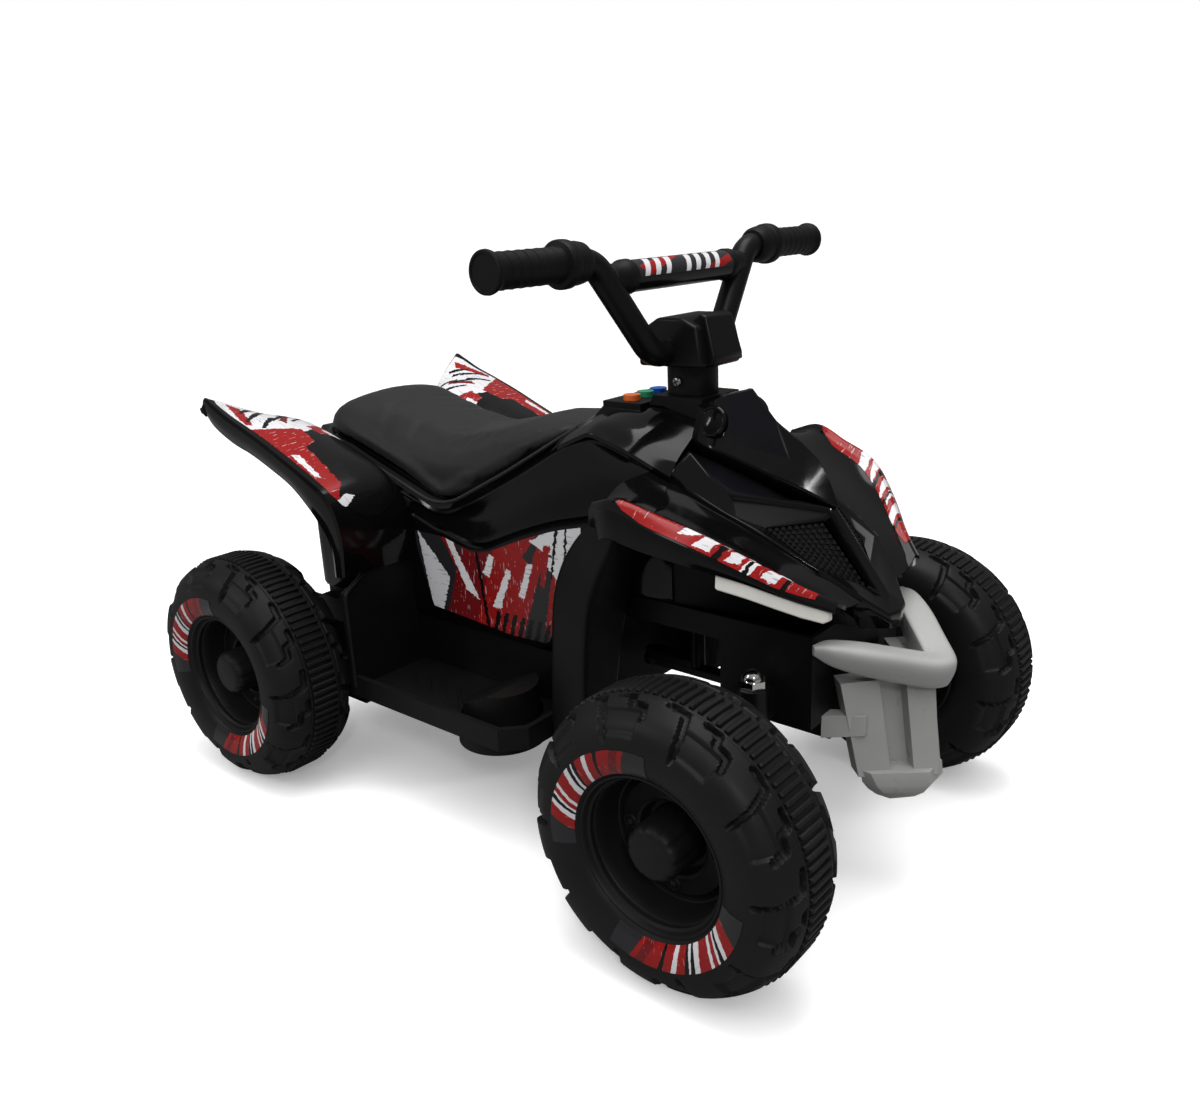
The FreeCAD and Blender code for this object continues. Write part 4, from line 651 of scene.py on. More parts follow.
ZIGZAG_GROOVE = [(34, 36), (37, 27), (47, 26), (49, 19), (58, 18.5)]
LUG = [
    (0.01, -2.5), (5.9, -2.5), (6.0, 0.3), (5.2, 1.3), (4.3, 1.3), (3.8, 0.3), (3.2, 0.1), (2.8, 1.6),
    (1.6, 2.6), (0.01, 2.9),
]
TREAD_BAR = [(-2.1, 106.2), (-1.9, 108.6), (-1.1, 109.7), (1.1, 109.7), (1.9, 108.6), (2.1, 106.2)]
TREAD_BAR_FOOT = 106.2
TUBE_RADIUS = 78
TREAD_RADIUS = 100
TYRE_STEPS = 576
BEAD_OUT = (-30.0, 30.0)
BEAD_RADIUS = 53.0
STICKER_SPAN = 52
STICKER_TURNS = (138, -60)

def ramped(value):
    """Soft step from 0 to 1."""
    value = np.clip(value, 0.0, 1.0)
    return value * value * (3 - 2 * value)


def near_line(a, s, line, half, soft):
    """1 on a line of the tread, falling to 0 past its half width."""
    best = np.full(a.shape, 1e9)
    for (a0, s0), (a1, s1) in zip(line, line[1:]):
        da = a1 - a0
        ds = s1 - s0
        t = np.clip(((a - a0) * da + (s - s0) * ds) / (da * da + ds * ds), 0, 1)
        best = np.minimum(best, np.hypot(a - a0 - t * da, s - s0 - t * ds))
    return ramped((half + soft - best) / soft)


def tread_depth(sizes, turn, across):
    """Depth of the tread's cuts, by turn and by the way across from the tyre's middle."""
    period = 2 * math.pi * TREAD_RADIUS / sizes.block_pairs
    a, reach = np.meshgrid(turn * TREAD_RADIUS, across, indexing="ij")
    depth = np.zeros(a.shape)
    for sign, shift in ((-1, 0.0), (1, period / 4)):
        side = reach * sign
        local = np.mod(a + shift, period)
        cut = np.zeros(a.shape)
        low = np.zeros(a.shape)
        for copy in (-period, 0, period):
            cut = np.maximum(cut, near_line(local + copy, side, LONG_GROOVE, 1.7, 1.5))
            cut = np.maximum(cut, near_line(local + copy, side, ZIGZAG_GROOVE, 1.6, 1.5))
            panel = ramped((local + copy - 36) / 2) * ramped((67 - local - copy) / 2)
            low = np.maximum(low, panel * ramped((side - 29) / 3) * ramped((51 - side) / 4))
        depth += (side > 0) * np.maximum(cut * sizes.groove_depth * 1000, low * 2.6)
    middle = np.abs(reach)
    return depth + 2.4 * ramped(15.2 - middle) + ramped((1.6 - np.abs(middle - 16.2)) / 0.8)


def tyre_grid(sizes):
    """Points of a tyre round its own centre: along, out and up, turn by turn."""
    half = spline(TYRE_HALF, 5)
    whole = np.concatenate([half, (half * (-1, 1))[::-1][1:]])
    lengths = np.concatenate([[0], np.cumsum(np.linalg.norm(np.diff(whole, axis=0), axis=1))])
    total = lengths[-1]
    spread = np.concatenate([np.linspace(0, 0.2, 12, endpoint=False),
                             np.linspace(0.2, 0.8, 96, endpoint=False), np.linspace(0.8, 1.0, 12)]) * total
    out = np.interp(spread, lengths, whole[:, 0])
    up = np.interp(spread, lengths, whole[:, 1])
    flow = np.stack([np.gradient(out, spread), np.gradient(up, spread)], axis=1)
    normal = np.stack([-flow[:, 1], flow[:, 0]], axis=1)
    normal *= np.sign(np.sum(normal * np.stack([out, up - TUBE_RADIUS], axis=1), axis=1))[:, None]
    normal /= np.linalg.norm(normal, axis=1, keepdims=True)
    turn = np.arange(TYRE_STEPS) * 2 * math.pi / TYRE_STEPS
    depth = tread_depth(sizes, turn, spread - total / 2)
    out = out[None, :] - depth * normal[None, :, 0]
    up = up[None, :] - depth * normal[None, :, 1]
    out = np.concatenate([out, np.broadcast_to(BEAD_OUT, (TYRE_STEPS, 2))], axis=1)
    up = np.concatenate([up, np.full((TYRE_STEPS, 2), BEAD_RADIUS)], axis=1)
    return np.stack([up * np.cos(turn)[:, None], out, up * np.sin(turn)[:, None]], axis=2)


def tread_bar():
    """One round-topped bar of the tread's middle, drawn at the top of the tyre."""
    ends = [(-13.2, 0.72), (-12.2, 1.0), (12.2, 1.0), (13.2, 0.72)]
    return Shape().loft([[(x * k, y, TREAD_BAR_FOOT + (z - TREAD_BAR_FOOT) * k) for x, z in TREAD_BAR]
                         for y, k in ends])


def wheel_lug(out):
    """One lug of the rim: a ring round a low dome."""
    return Shape().lathe(LUG, (36.0, out * 6.4, 0.0), (0.0, float(out), 0.0), 20)


def tyre_sticker(middle, out_at):
    """Grid and panel coordinates of a sidewall arc about a turn in degrees."""
    turn = np.radians(np.linspace(middle + STICKER_SPAN, middle - STICKER_SPAN, 61))
    r = np.linspace(60.5, 78.5, 9)
    grid = np.zeros((61, 9, 3))
    grid[..., 0] = np.outer(np.cos(turn), r)
    grid[..., 1] = -np.interp(r, out_at[0], out_at[1])[None, :]
    grid[..., 2] = np.outer(np.sin(turn), r)
    uv = np.stack(np.meshgrid(np.linspace(0, 1.25, 61), np.linspace(0, 0.2, 9), indexing="ij"), axis=2)
    return grid, uv


def hub_flutes(turn, height):
    """Ten flutes down the side of a hub cap."""
    depth = 0.05 if 5 < height < 33 else 0.0
    return 1 - depth * ramped(np.cos(10 * turn) * 1.6 - 0.3)


def build_wheels(sizes):
    """Four wheels: tyre and rim in one, tread bars, lugs, hub cap and sidewall stickers."""
    rubber = finish("wheel_plastic")
    ring = tyre_grid(sizes)
    half = spline(TYRE_HALF, 5)
    out_at = (half[:30, 1], half[:30, 0])
    for place, x in (("front", FRONT_X), ("rear", REAR_X)):
        for hand, side in (("right", -1), ("left", 1)):
            body = f"{place}_{hand}_wheel"
            centre = np.array((x, side * WHEEL_Y, AXLE_Z))
            wheel = Shape()
            wheel.add(ring * (1, side, 1) + centre, grid_faces(*ring.shape[:2], wrap_u=True, wrap_v=True))
            wheel.lathe(RIM, centre, (0, side, 0), 120)
            piece(wheel, f"{body}_moulding", body, [rubber], [body], sharp=40)
            cap = Shape().lathe(CAP, centre, (0, side, 0), 120, hub_flutes)
            piece(cap, f"{place}_{hand}_hub_dome", body, [rubber],
                  [f"{place}_{hand}_hub_cap"], sharp=38)
            repeated(tread_bar(), f"{body}_tread_bars", body, rubber, sizes.tread_bars,
                     centre, turn=(0, 2 * math.pi / sizes.tread_bars, 0))
            repeated(wheel_lug(side), f"{body}_lugs", body, rubber, 4, centre,
                     turn=(0, math.pi / 2, 0))
            film = Shape()
            for middle in STICKER_TURNS:
                grid, uv = tyre_sticker(middle, out_at)
                film.shell(grid + (x, -WHEEL_Y, AXLE_Z), 0.8, 0.35, uv=uv)
            if side > 0:
                film = film.mirrored()
            piece(film, f"{body}_film", body, [finish("tyre_film")], sharp=60)


# Seat

SEAT_X = [-255.25, -249, -240, -222, -195, -150, -105, -80, -43, 2, 30, 47.75]
SEAT_TOP = [326, 344, 352.5, 353, 344.5, 333.5, 326.5, 327.5, 335, 346, 352.5, 356]
SEAT_HALF = [64, 70, 73, 75, 76, 76, 76, 75.5, 73, 66, 54, 40]
SEAT_LOW = [(-255.25, 317), (-88, 261), (5, 311), (30, 329), (47.75, 342)]
SEAT_VOXEL = 0.005
SWELL_FRAMES = 20
FOLDS = (
    (-188, 0.16, 30), (-170, -0.1, 34), (-152, 0.12, 26), (-106, -0.12, 34), (-90, 0.1, 38),
    (-74, -0.06, 28),
)

def at(line, x, reach=16.0):
    """Height of a line of (x, z) points, its corners eased over a reach."""
    spots = x + reach * np.linspace(-1, 1, 13)
    return float(np.mean(np.interp(spots, [p[0] for p in line], [p[1] for p in line])))


def seat_low(x):
    """Height of the seat's lower edge."""
    return at(SEAT_LOW, x, min(26.0, x - SEAT_X[0], SEAT_X[-1] - x))


def seat_ring(x, top, half, shrink):
    """One section of the cushion: flat below, sides drawn in, crowned above."""
    low = seat_low(x) + 1 + shrink
    high = top - low - shrink
    half = half - shrink
    crown = min(14 / high, 0.3)
    right = [(0.0, 0.0), (0.6, 0.0), (0.9, 0.01), (0.985, 0.06), (1.0, 0.15), (0.995, 0.36),
             (0.972, 1 - 1.6 * crown), (0.9, 1 - 0.95 * crown), (0.76, 1 - 0.5 * crown),
             (0.42, 1 - 0.14 * crown), (0.0, 1.0)]
    ring = [(x, -u * half, low + v * high) for u, v in spline(right, 3)]
    return ring + [(px, -y, z) for px, y, z in ring[-2:0:-1]]


def build_seat(sizes):
    """The saddle: swollen by cloth pressure, creased at its dip, with a welt round its foot."""
    fine = spline(np.stack([SEAT_X, SEAT_TOP, SEAT_HALF], axis=1), 5)
    shape = Shape().loft([seat_ring(x, top, half, 3.0) for x, top, half in fine])
    obj = placed(shape, "saddle")
    swell(obj, sizes)
    settle(obj, sharp=80)
    rounder = obj.modifiers.new("smooth", "SUBSURF")
    rounder.levels = 1
    rounder.render_levels = 1
    crease(obj, sizes)
    obj.data.materials.append(finish("seat_vinyl"))
    seat_on(obj, "chassis", ["seat_cushion"])
    path = [(x, -half + 1.0, seat_low(x) + 1.5) for x, top, half in fine]
    rear = [(path[0][0] - 1, y, path[0][2]) for y in np.linspace(-50, 50, 9)]
    front = [(path[-1][0] + 1, y, path[-1][2]) for y in np.linspace(34, -34, 9)]
    run = path[::-1] + rear + [(x, -y, z) for x, y, z in path] + front
    welt = Shape().tube(np.array(run + run[:1]), 1.7, 10)
    obj = piece(welt, "saddle_welt", "chassis", [finish("seat_vinyl")], sharp=60)


def swell(obj, sizes):
    """Cloth pressure on a remeshed copy, with each point's move capped, applied to the mesh."""
    bpy.context.view_layer.objects.active = obj
    remesh = obj.modifiers.new("voxels", "REMESH")
    remesh.mode = "VOXEL"
    remesh.voxel_size = SEAT_VOXEL
    bake(obj)
    rest = np.array([v.co for v in obj.data.vertices])
    cloth = obj.modifiers.new("swell", "CLOTH")
    cloth.settings.effector_weights.gravity = 0.0
    cloth.settings.use_pressure = True
    cloth.settings.uniform_pressure_force = 4.0
    cloth.settings.mass = 0.2
    cloth.settings.tension_stiffness = 40.0
    cloth.settings.compression_stiffness = 40.0
    cloth.settings.shear_stiffness = 20.0
    scene = bpy.context.scene
    for number in range(1, SWELL_FRAMES + 1):
        scene.frame_set(number)
    bake(obj)
    scene.frame_set(1)
    move = np.array([v.co for v in obj.data.vertices]) - rest
    size = np.linalg.norm(move, axis=1, keepdims=True)
    move *= np.minimum(1.0, sizes.seat_swell / np.maximum(size, 1e-9))
    obj.data.vertices.foreach_set("co", (rest + move).ravel())
    obj.data.update()


def crease(obj, sizes):
    """Presses soft folds into the vinyl where the saddle dips."""
    co = np.zeros(len(obj.data.vertices) * 3)
    obj.data.vertices.foreach_get("co", co)
    co = co.reshape(-1, 3)
    x = co[:, 0] / MM
    y = co[:, 1] / MM
    z = co[:, 2] / MM
    above = ramped((z - 305) / 12)
    fall = np.zeros(len(co))
    for spot, lean, reach in FOLDS:
        line = x - spot - lean * np.abs(y) - 3 * np.sin(y / 17 + spot)
        fall += np.exp(-(line / 3.2) ** 2) * ramped((reach - np.abs(np.abs(y) - 40)) / 18)
    co[:, 2] -= fall * above * sizes.seat_fold
    obj.data.vertices.foreach_set("co", co.ravel())
    obj.data.update()


# Fenders

CREASE = np.array([(136.5, -70, 334), (178.5, -69, 316), (205, -65, 303.5), (232.5, -60, 291),
                   (255, -54, 278), (277.5, -48, 265), (297, -32, 247), (316.5, -14, 228)], float)
FRONT_FENDER = [
    (147.75, 139, 319, 145, 314, 288), (166.75, 145, 325, 151, 319.5, 298),
    (181, 142, 323, 149.5, 316.5, 294.5), (199, 137, 316, 146, 308.5, 290),
    (230, 128, 304.5, 139, 297.5, 284), (256, 107, 285, 118, 279, 272),
    (281, 82, 263.5, 91, 258.5, 255), (301.25, 63, 249.5, 70, 246.5, 243.5),
]
REAR_FENDER = [
    ((-284, -98, 312), (-290, -107, 322), (-303, -134, 332), (-315, -160, 346), (-316, 342)),
    ((-281, -98, 319), (-286, -107, 332), (-299, -134, 346), (-310, -162, 360), (-317, 345)),
    ((-272, -93, 318), (-276, -102, 332.5), (-287, -131, 344), (-298, -163, 356), (-304, 333)),
    ((-258, -86, 317.5), (-262, -95, 332), (-269, -127, 341), (-276, -163, 346), (-276, 320)),
    ((-243, -80, 315.5), (-244, -92, 328.5), (-246, -124, 336.5), (-247, -163, 336), (-247, 312)),
    ((-216, -79, 307), (-216, -91, 320.5), (-216, -121, 327.5), (-216, -163, 324.5), (-217, 301)),
    ((-186, -79, 297.5), (-186, -91, 310), (-186, -119, 316), (-186, -163, 312), (-190, 289)),
    ((-160, -78, 288), (-159, -90, 299), (-158.5, -118, 303.5), (-158, -163, 300), (-167, 272)),
    ((-142, -77, 275), (-141, -89, 284), (-139.5, -117, 289), (-139, -161, 287.5), (-153, 254)),
    ((-134, -76, 257), (-132, -88, 264), (-130, -116, 268), (-130, -159, 268.5), (-149, 242)),
    ((-132, -75, 232), (-129, -87, 237), (-127, -115, 240), (-128, -157, 242), (-149, 228)),
    ((-135, -74, 206), (-133, -86, 209), (-131, -114, 211), (-133, -155, 212), (-152, 208)),
]


def front_fender_rows():
    """Control points of the right front fender, from the cowl's crease out and down to the lip."""
    rows = []
    for x, ridge, ridge_z, outer, outer_z, lip in FRONT_FENDER:
        inner = np.interp(x, CREASE[:, 0], -CREASE[:, 1]) - 1
        inner_z = np.interp(x, CREASE[:, 0], CREASE[:, 2]) - 3
        rows.append([(x, -inner, inner_z),
                     (x, -(inner * 0.45 + ridge * 0.55), inner_z * 0.8 + ridge_z * 0.2),
                     (x, -(ridge - 9), ridge_z - 4.5), (x, -ridge, ridge_z), (x, -outer, outer_z),
                     (x, -(outer + 0.5), (outer_z + lip) / 2), (x, -(outer - 1), lip)])
    return np.array(rows)


def rear_fender_rows():
    """Control points of the right rear fender, from beside the seat over its crown to the lip."""
    rows = []
    for *top, (lip_x, lip_z) in REAR_FENDER:
        outer = np.array(top[-1], float)
        lip = np.array((lip_x, outer[1] + 3, lip_z), float)
        edge = outer + (lip - outer) * 0.14 + (0, -1.5, 0)
        rows.append(top + [edge, (edge + lip) / 2 + (0, -1.5, 0), lip])
    return np.array(rows)


def outward(grid, axis=2):
    """The grid with its normals turned towards a positive axis at its middle."""
    if grid_normals(grid)[grid.shape[0] // 2, grid.shape[1] // 3][axis] < 0:
        return grid[::-1]
    return grid


def sticker(rows, sharp, stops, lows, highs, steps):
    """Grid and panel coordinates (in 100 mm) over part of a control grid; ranges run from 0 to 1."""
    dense = patch(rows, 10, 8, sharp_v=sharp)
    nu, nv = dense.shape[:2]
    made = np.zeros((steps[0], steps[1], 3))
    for a, place in enumerate(np.linspace(stops[0], stops[-1], steps[0])):
        low = np.interp(place, stops, lows)
        high = np.interp(place, stops, highs)
        iv = np.linspace(low, high, steps[1]) * (nv - 1)
        i0 = min(int(place * (nu - 1)), nu - 2)
        row = dense[i0] + (dense[i0 + 1] - dense[i0]) * (place * (nu - 1) - i0)
        made[a] = np.stack([np.interp(iv, np.arange(nv), row[:, k]) for k in range(3)], axis=1)
    middle = made[:, -1]
    along = np.concatenate([[0], np.cumsum(np.linalg.norm(np.diff(middle, axis=0), axis=1))]) / 100
    across = np.cumsum(np.linalg.norm(np.diff(made, axis=1, prepend=made[:, :1]), axis=2), axis=1) / 100
    across -= across[:, -1:]
    uv = np.stack([np.broadcast_to(along[:, None], across.shape), across], axis=2)
    if grid_normals(made)[steps[0] // 2, steps[1] // 2][2] < 0:
        return made[::-1], uv[::-1]
    return made, uv


FRONT_COVER = (
    (4,), (0.22, 0.28, 0.4, 0.6, 0.8, 0.92), (0.5, 0.38, 0.3, 0.28, 0.3, 0.42),
    (0.56, 0.62, 0.65, 0.65, 0.65, 0.6), (70, 18),
)
REAR_COVER = (
    (3, 4), (0.112, 0.18, 0.36, 0.65, 0.725, 0.78, 0.818, 0.845),
    (0.1, 0.1, 0.12, 0.15, 0.16, 0.19, 0.24, 0.31), (0.46, 0.475, 0.48, 0.48, 0.48, 0.46, 0.42, 0.38),
    (90, 24),
)
LAMP_STOPS = ((242, 0.9), (243, 1.0), (258, 1.0), (271, 1.0), (284, 1.0), (295, 0.9), (298, 0.4))


def fender_lamp():
    """The pale strip under the right front fender's lip."""
    lips = front_fender_rows()[:, -1]
    rings = []
    for x, rise in LAMP_STOPS:
        y = np.interp(x, lips[:, 0], lips[:, 1])
        z = np.interp(x, lips[:, 0], lips[:, 2])
        low = z - 5 - 6 * rise
        high = z - 5 + 8 * rise
        rings.append([(x, y + 6, low), (x, y + 1.5, low), (x, y + 0.5, low + 1), (x, y + 1.5, high),
                      (x, y + 6, high)])
    return Shape().loft(rings)


def build_fenders():
    """Front and rear fenders with their printed films, and the strips under the front ones."""
    gloss = finish("gloss_body")
    for place, rows, film, cover in (("front", front_fender_rows(), "front_film", FRONT_COVER),
                                     ("rear", rear_fender_rows(), "rear_film", REAR_COVER)):
        right = Shape().shell(outward(patch(rows, 6, 6, sharp_v=cover[0])), 3.0)
        grid, uv = sticker(rows, *cover)
        print_right = Shape().shell(grid, 0.8, 0.4, uv=uv)
        for hand, shape, art in (("right", right, print_right),
                                 ("left", right.mirrored(), print_right.mirrored())):
            piece(shape, f"{place}_{hand}_wing", "chassis", [gloss],
                  [f"{place}_fender_{hand}"], 0.8, 38)
            piece(art, f"{place}_{hand}_wing_film", "chassis", [finish(film)], sharp=60)
    lamp = fender_lamp()
    for hand, shape in (("right", lamp), ("left", lamp.mirrored())):
        piece(shape, f"fender_lamp_{hand}", "chassis", [finish("light_white")],
              [f"light_strip_{hand}"], 0.6, 30)


# Flanks and tank

FLANK_FOOT = [(-280, 150), (35, 150), (95, 222), (164, 222)]
FLANK_GROOVE = [
    (-280, 304), (-200, 300), (-169.5, 285), (-142.5, 256), (-90.5, 242), (-44.5, 232), (15.5, 258),
    (57.5, 273), (79.5, 277), (110, 288), (164, 296),
]
FLANK_EDGE = [
    (-280, 296), (-262, 313), (-255, 313), (-88, 259), (-40, 280), (18, 311), (50, 330), (72, 341),
    (80, 345), (92, 348.5), (107, 344.6), (128, 338.4), (149, 329.2), (164, 322),
]
SHOULDER_DROP = [(-280, 5), (-80, 4), (164, 3)]
FLANK_ENDS = (-280, 164)
FLANK_STOPS = [-262, -255, -80, -44.5, 35, 47.75, 96]
TAIL_STEPS = ((3, 1.0), (6, 3.0), (8, 6.5), (9, 12.0))
TANK = [
    (45, 347, 340, 70, 329), (58, 354, 347, 73.5, 336.5), (72, 360.5, 354, 75, 342.8),
    (82, 362.5, 357.5, 75.6, 347.2), (92, 364, 359.5, 75.8, 350.3), (108, 365.4, 359.8, 75.8, 346.4),
    (130, 365, 356.5, 75.2, 339.6), (150, 361, 350, 73.2, 330.6), (165, 357, 344.5, 70.6, 323.6),
]
TANK_BROW = 46
PANEL_MOUND = ((12, -16), (5, -7), (1.2, -1), (0.6, 0.3))
TAIL_FIELD = [(-50, 180), (-42, 168), (42, 168), (50, 180), (50, 268), (42, 280), (-42, 280), (-50, 268)]
TAIL_FIELD_MIDDLE = 224
TAIL_FIELD_STEPS = ((-288, 1.0), (-291, 0.97), (-292.5, 0.9))
FILM_STOPS = ([-129.5, -110.5, -7.5, 35, 52.5, 79.5], [231, 165, 158, 160, 188, 268])
def flank_half(x):
    """The right half of a section of the body, from its foot up to the middle under the seat."""
    foot = at(FLANK_FOOT, x)
    edge = at(FLANK_EDGE, x)
    crease_z = edge - at(SHOULDER_DROP, x)
    groove = max(min(at(FLANK_GROOVE, x), crease_z - 16), foot + 14)
    tall = crease_z - groove
    inner = np.interp(x, SEAT_X, SEAT_HALF) - 10
    inner_z = max(edge, seat_low(np.clip(x, SEAT_X[0], SEAT_X[-1])) + 1) if x < 60 else edge
    hollow = min(tall / 60, 1.0) * 3.5
    scale = 1 - 0.072 * ramped((x - 126) / 36)
    half = [(66, foot), (73.5, foot + 2), (75, foot + 5), (75, (foot + groove) / 2), (75, groove - 5),
            (74.4, groove - 2.5), (71.5, groove), (74.2, groove + 3),
            (74.5 - hollow * 0.4, groove + 0.22 * tall), (73.5 - hollow, groove + 0.5 * tall),
            (73 - hollow * 0.7, groove + 0.76 * tall), (73.5, groove + 0.94 * tall), (75, crease_z),
            (73.6, crease_z + 0.6 * (edge - crease_z)), (70, edge), (inner, inner_z), (0, inner_z)]
    return [(y * scale, z) for y, z in half]


def flank_body():
    """The body under seat and tank, with an eased tail and a raised field on it."""
    rings = []
    for x in sorted(set(list(np.linspace(*FLANK_ENDS, 90)) + FLANK_STOPS)):
        half = flank_half(x)
        rings.append([(x, -y, z) for y, z in half] + [(x, y, z) for y, z in half[-2::-1]])
    tail = np.array(rings[0])
    low = tail[:, 2].min()
    high = tail[:, 2].max()
    for back, inset in TAIL_STEPS:
        eased = tail - (back, 0, 0)
        eased[:, 1] *= 1 - inset / 75
        eased[:, 2] = low + inset + (eased[:, 2] - low) * (1 - 2 * inset / (high - low))
        rings.insert(0, eased.tolist())
    body = Shape().loft(rings)
    middle = TAIL_FIELD_MIDDLE
    return body.loft([[(x, y * k, middle + (z - middle) * k) for y, z in TAIL_FIELD]
                      for x, k in TAIL_FIELD_STEPS])


def tank_cover():
    """The tank's shell, kept under the button panel and raised to it by a mound."""
    rows = []
    for x, top, brow, ridge, side in TANK:
        half = ((0, top), (26, top - 0.6), (TANK_BROW, brow),
                (0.45 * TANK_BROW + 0.55 * ridge, (brow + side) / 2 + 1.2), (ridge, side),
                (ridge - 0.4, side - 3.5))
        rows.append([(x, -y, z) for y, z in half])
    right = patch(np.array(rows), 5, 5, sharp_v=(2, 4))
    low, high = (np.array(corner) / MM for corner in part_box("control_panel"))
    along = np.abs(right[..., 0] - (low[0] + high[0]) / 2)
    under = (along < (high[0] - low[0]) / 2 + 4) & (right[..., 1] > low[1] - 4)
    right[..., 2] = np.where(under, np.minimum(right[..., 2], low[2] - 1), right[..., 2])
    left = (right * (1, -1, 1))[:, ::-1]
    tank = Shape().shell(outward(np.concatenate([left[:, :-1], right], axis=1)), 3.0)
    rings = []
    for out, rise in PANEL_MOUND:
        z = low[2] + rise
        rings.append([(low[0] - out, low[1] - out, z), (high[0] + out, low[1] - out, z),
                      (high[0] + out, high[1] + out, z), (low[0] - out, high[1] + out, z)])
    return tank.loft(rings)


def flank_film():
    """The right side's film, between the body's foot and its groove."""
    xs = np.linspace(-127, 78, 60)
    low = np.maximum(np.interp(xs, *FILM_STOPS), [at(FLANK_FOOT, x) + 6 for x in xs])
    high = np.array([at(FLANK_GROOVE, x) - 6 for x in xs])
    high = np.maximum(np.minimum(high, 236 + np.maximum(xs + 44, 0) * 0.4), low + 0.5)
    grid = np.zeros((60, 12, 3))
    for k in range(12):
        grid[:, k] = np.stack([xs, np.full(60, -75.0), low + (high - low) * k / 11], axis=1)
    return Shape().shell(grid, 0.8, 0.4, uv=grid[..., (0, 2)] / 100)


def build_flanks():
    """The gloss body under seat and tank, its tank cover and the side films."""
    gloss = finish("gloss_body")
    piece(flank_body(), "body_flanks", "chassis", [gloss], ["upper_body"], sharp=32)
    piece(tank_cover(), "tank_shell", "chassis", [gloss], ["tank_cover"], 0.8, 34)
    film = flank_film()
    for hand, shape in (("right", film), ("left", film.mirrored())):
        piece(shape, f"flank_{hand}_film", "chassis", [finish("flank_film")], sharp=60)


# Nose: hood, cheeks, lamps, grille and chin. Points of the right half by name

NOSE = {
    "R0": (164, 0, 374), "R1": (192.5, 0, 381), "R2": (212.5, 0, 359), "R3": (234.5, 0, 345),
    "R4": (250.5, 0, 332), "R5": (261.5, 0, 314), "R6": (267.5, 0, 297), "K0": (164, -30, 371),
    "K1": (179, -16, 378), "W1": (193.5, -30, 345), "W2": (229.5, -8, 332), "B0": (164.5, -42, 346),
    "B1": (194, -37, 337), "B2": (220, -27, 325), "B3": (246, -13, 311), "D0": (163, -42, 338),
    "D1": (190, -37, 328), "D2": (214, -27, 316), "D3": (240, -13, 303), "D6": (258, 0, 294),
    "E0": (171.5, -54, 340), "E1": (193.5, -56.5, 322), "E2": (206.5, -54, 312),
    "E3": (230.5, -31, 306), "T": (262, -4, 298), "S0": (164.5, -69, 326), "S1": (171, -68.3, 321),
    "S2": (178.5, -69, 316), "O3": (205, -65, 303.5), "O4": (232.5, -60, 291), "O5": (255, -54, 278),
    "O6": (277.5, -48, 265), "O7": (297, -32, 247), "O8": (316.5, -14, 228), "P0": (208, -52, 307),
    "P1": (231, -31, 301), "P2": (261, -6, 294), "G0": (213.5, -55, 295), "G1": (234.5, -50, 290),
    "G2": (259, -7, 288), "H1": (267.5, -38, 264), "H2": (296.5, -7, 243), "N0": (266, 0, 296),
    "N3": (309, 0, 239), "M0": (265, -5, 293), "M3": (305, -6, 240), "Q0": (250, -57, 264),
    "Q1": (286.5, -43, 238), "Q2": (299, -24, 217), "Q3": (316, -9, 216), "Q4": (318, 0, 215),
    "O9": (319, 0, 227), "U2": (178.5, -71, 296), "U4": (232.5, -63, 272), "U0": (164, -71, 296),
    "S9": (164, -70.5, 318), "B9": (163, -46, 345.5),
}
HOOD_FACES = (
    "R0 K0 K1 R1", "K0 B0 B1 W1 K1", "W1 B1 B2 W2", "W2 B2 B3 R4 R3", "R2 W2 R3", "B3 R6 R5 R4",
    "B0 D0 D1 B1", "B1 D1 D2 B2", "B2 D2 D3 B3", "B3 D3 D6 R6",
)
WINDOW_FACES = ("R1 K1 W1 W2 R2",)
CHEEK_FACES = (
    "B9 S0 E0 D0", "E0 S0 S1 E1", "E1 S1 S2 E2", "E2 S2 O3 G0 P0", "G0 O3 O4 G1", "G1 O4 O5 O6 H1",
    "H1 O6 O7 H2", "H2 O7 O8 M3", "M3 O8 O9 N3", "M0 M3 N3 N0", "G2 H2 M3 M0", "S9 U0 U2 S2 S1 S0",
    "S2 U2 U4 O4 O3", "O4 U4 Q0 O5", "O5 Q0 Q1 O6", "O6 Q1 Q2 O7", "O7 Q2 Q3 O8", "O8 Q3 Q4 O9",
    "E2 P0 P1 E3", "E3 P1 P2 T", "T P2 M0 N0", "P2 G2 M0",
)
LAMP_FACES = ("D0 E0 E1 D1", "D1 E1 E2 D2", "D2 E2 E3 D3", "D3 E3 T", "D3 T D6")
PLATE_FACES = ("P0 G0 G1 P1", "P1 G1 G2 P2")
LINER = (
    (150, 70, 306, 68, 222), (178, 70, 298, 66, 222), (205, 67, 286, 61, 222), (232, 61, 272, 54, 222),
    (255, 55, 262, 47, 222), (280, 45, 244, 40, 223), (297, 30, 226, 30, 220),
)
BOSS = [
    (0.01, -4), (12, -4), (12.3, 0.6), (11.3, 1.5), (10, 1.5), (9.4, 0.8), (8.6, 0.9), (6, 1.7),
    (0.01, 2.2),
]
PANEL_WALL = 2.5
PANEL_BEVEL = 1.2
PANEL_SHARP = 20.0
STUD_WIDTH = 0.0024
STUD_RISE = 0.0022

def panels(groups):
    """Faces by point names on both halves, each group with its finish number."""
    names = sorted({name for faces, _ in groups for face in faces for name in face.split()})
    place = {name: i for i, name in enumerate(names)}
    half = Shape()
    half.points = [list(NOSE[name]) for name in names]
    half.uv = [[0.0, 0.0] for _ in names]
    for faces, number in groups:
        for face in faces:
            half.faces.append([place[name] for name in face.split()])
            half.finish.append(number)
    return half.join(half.mirrored())


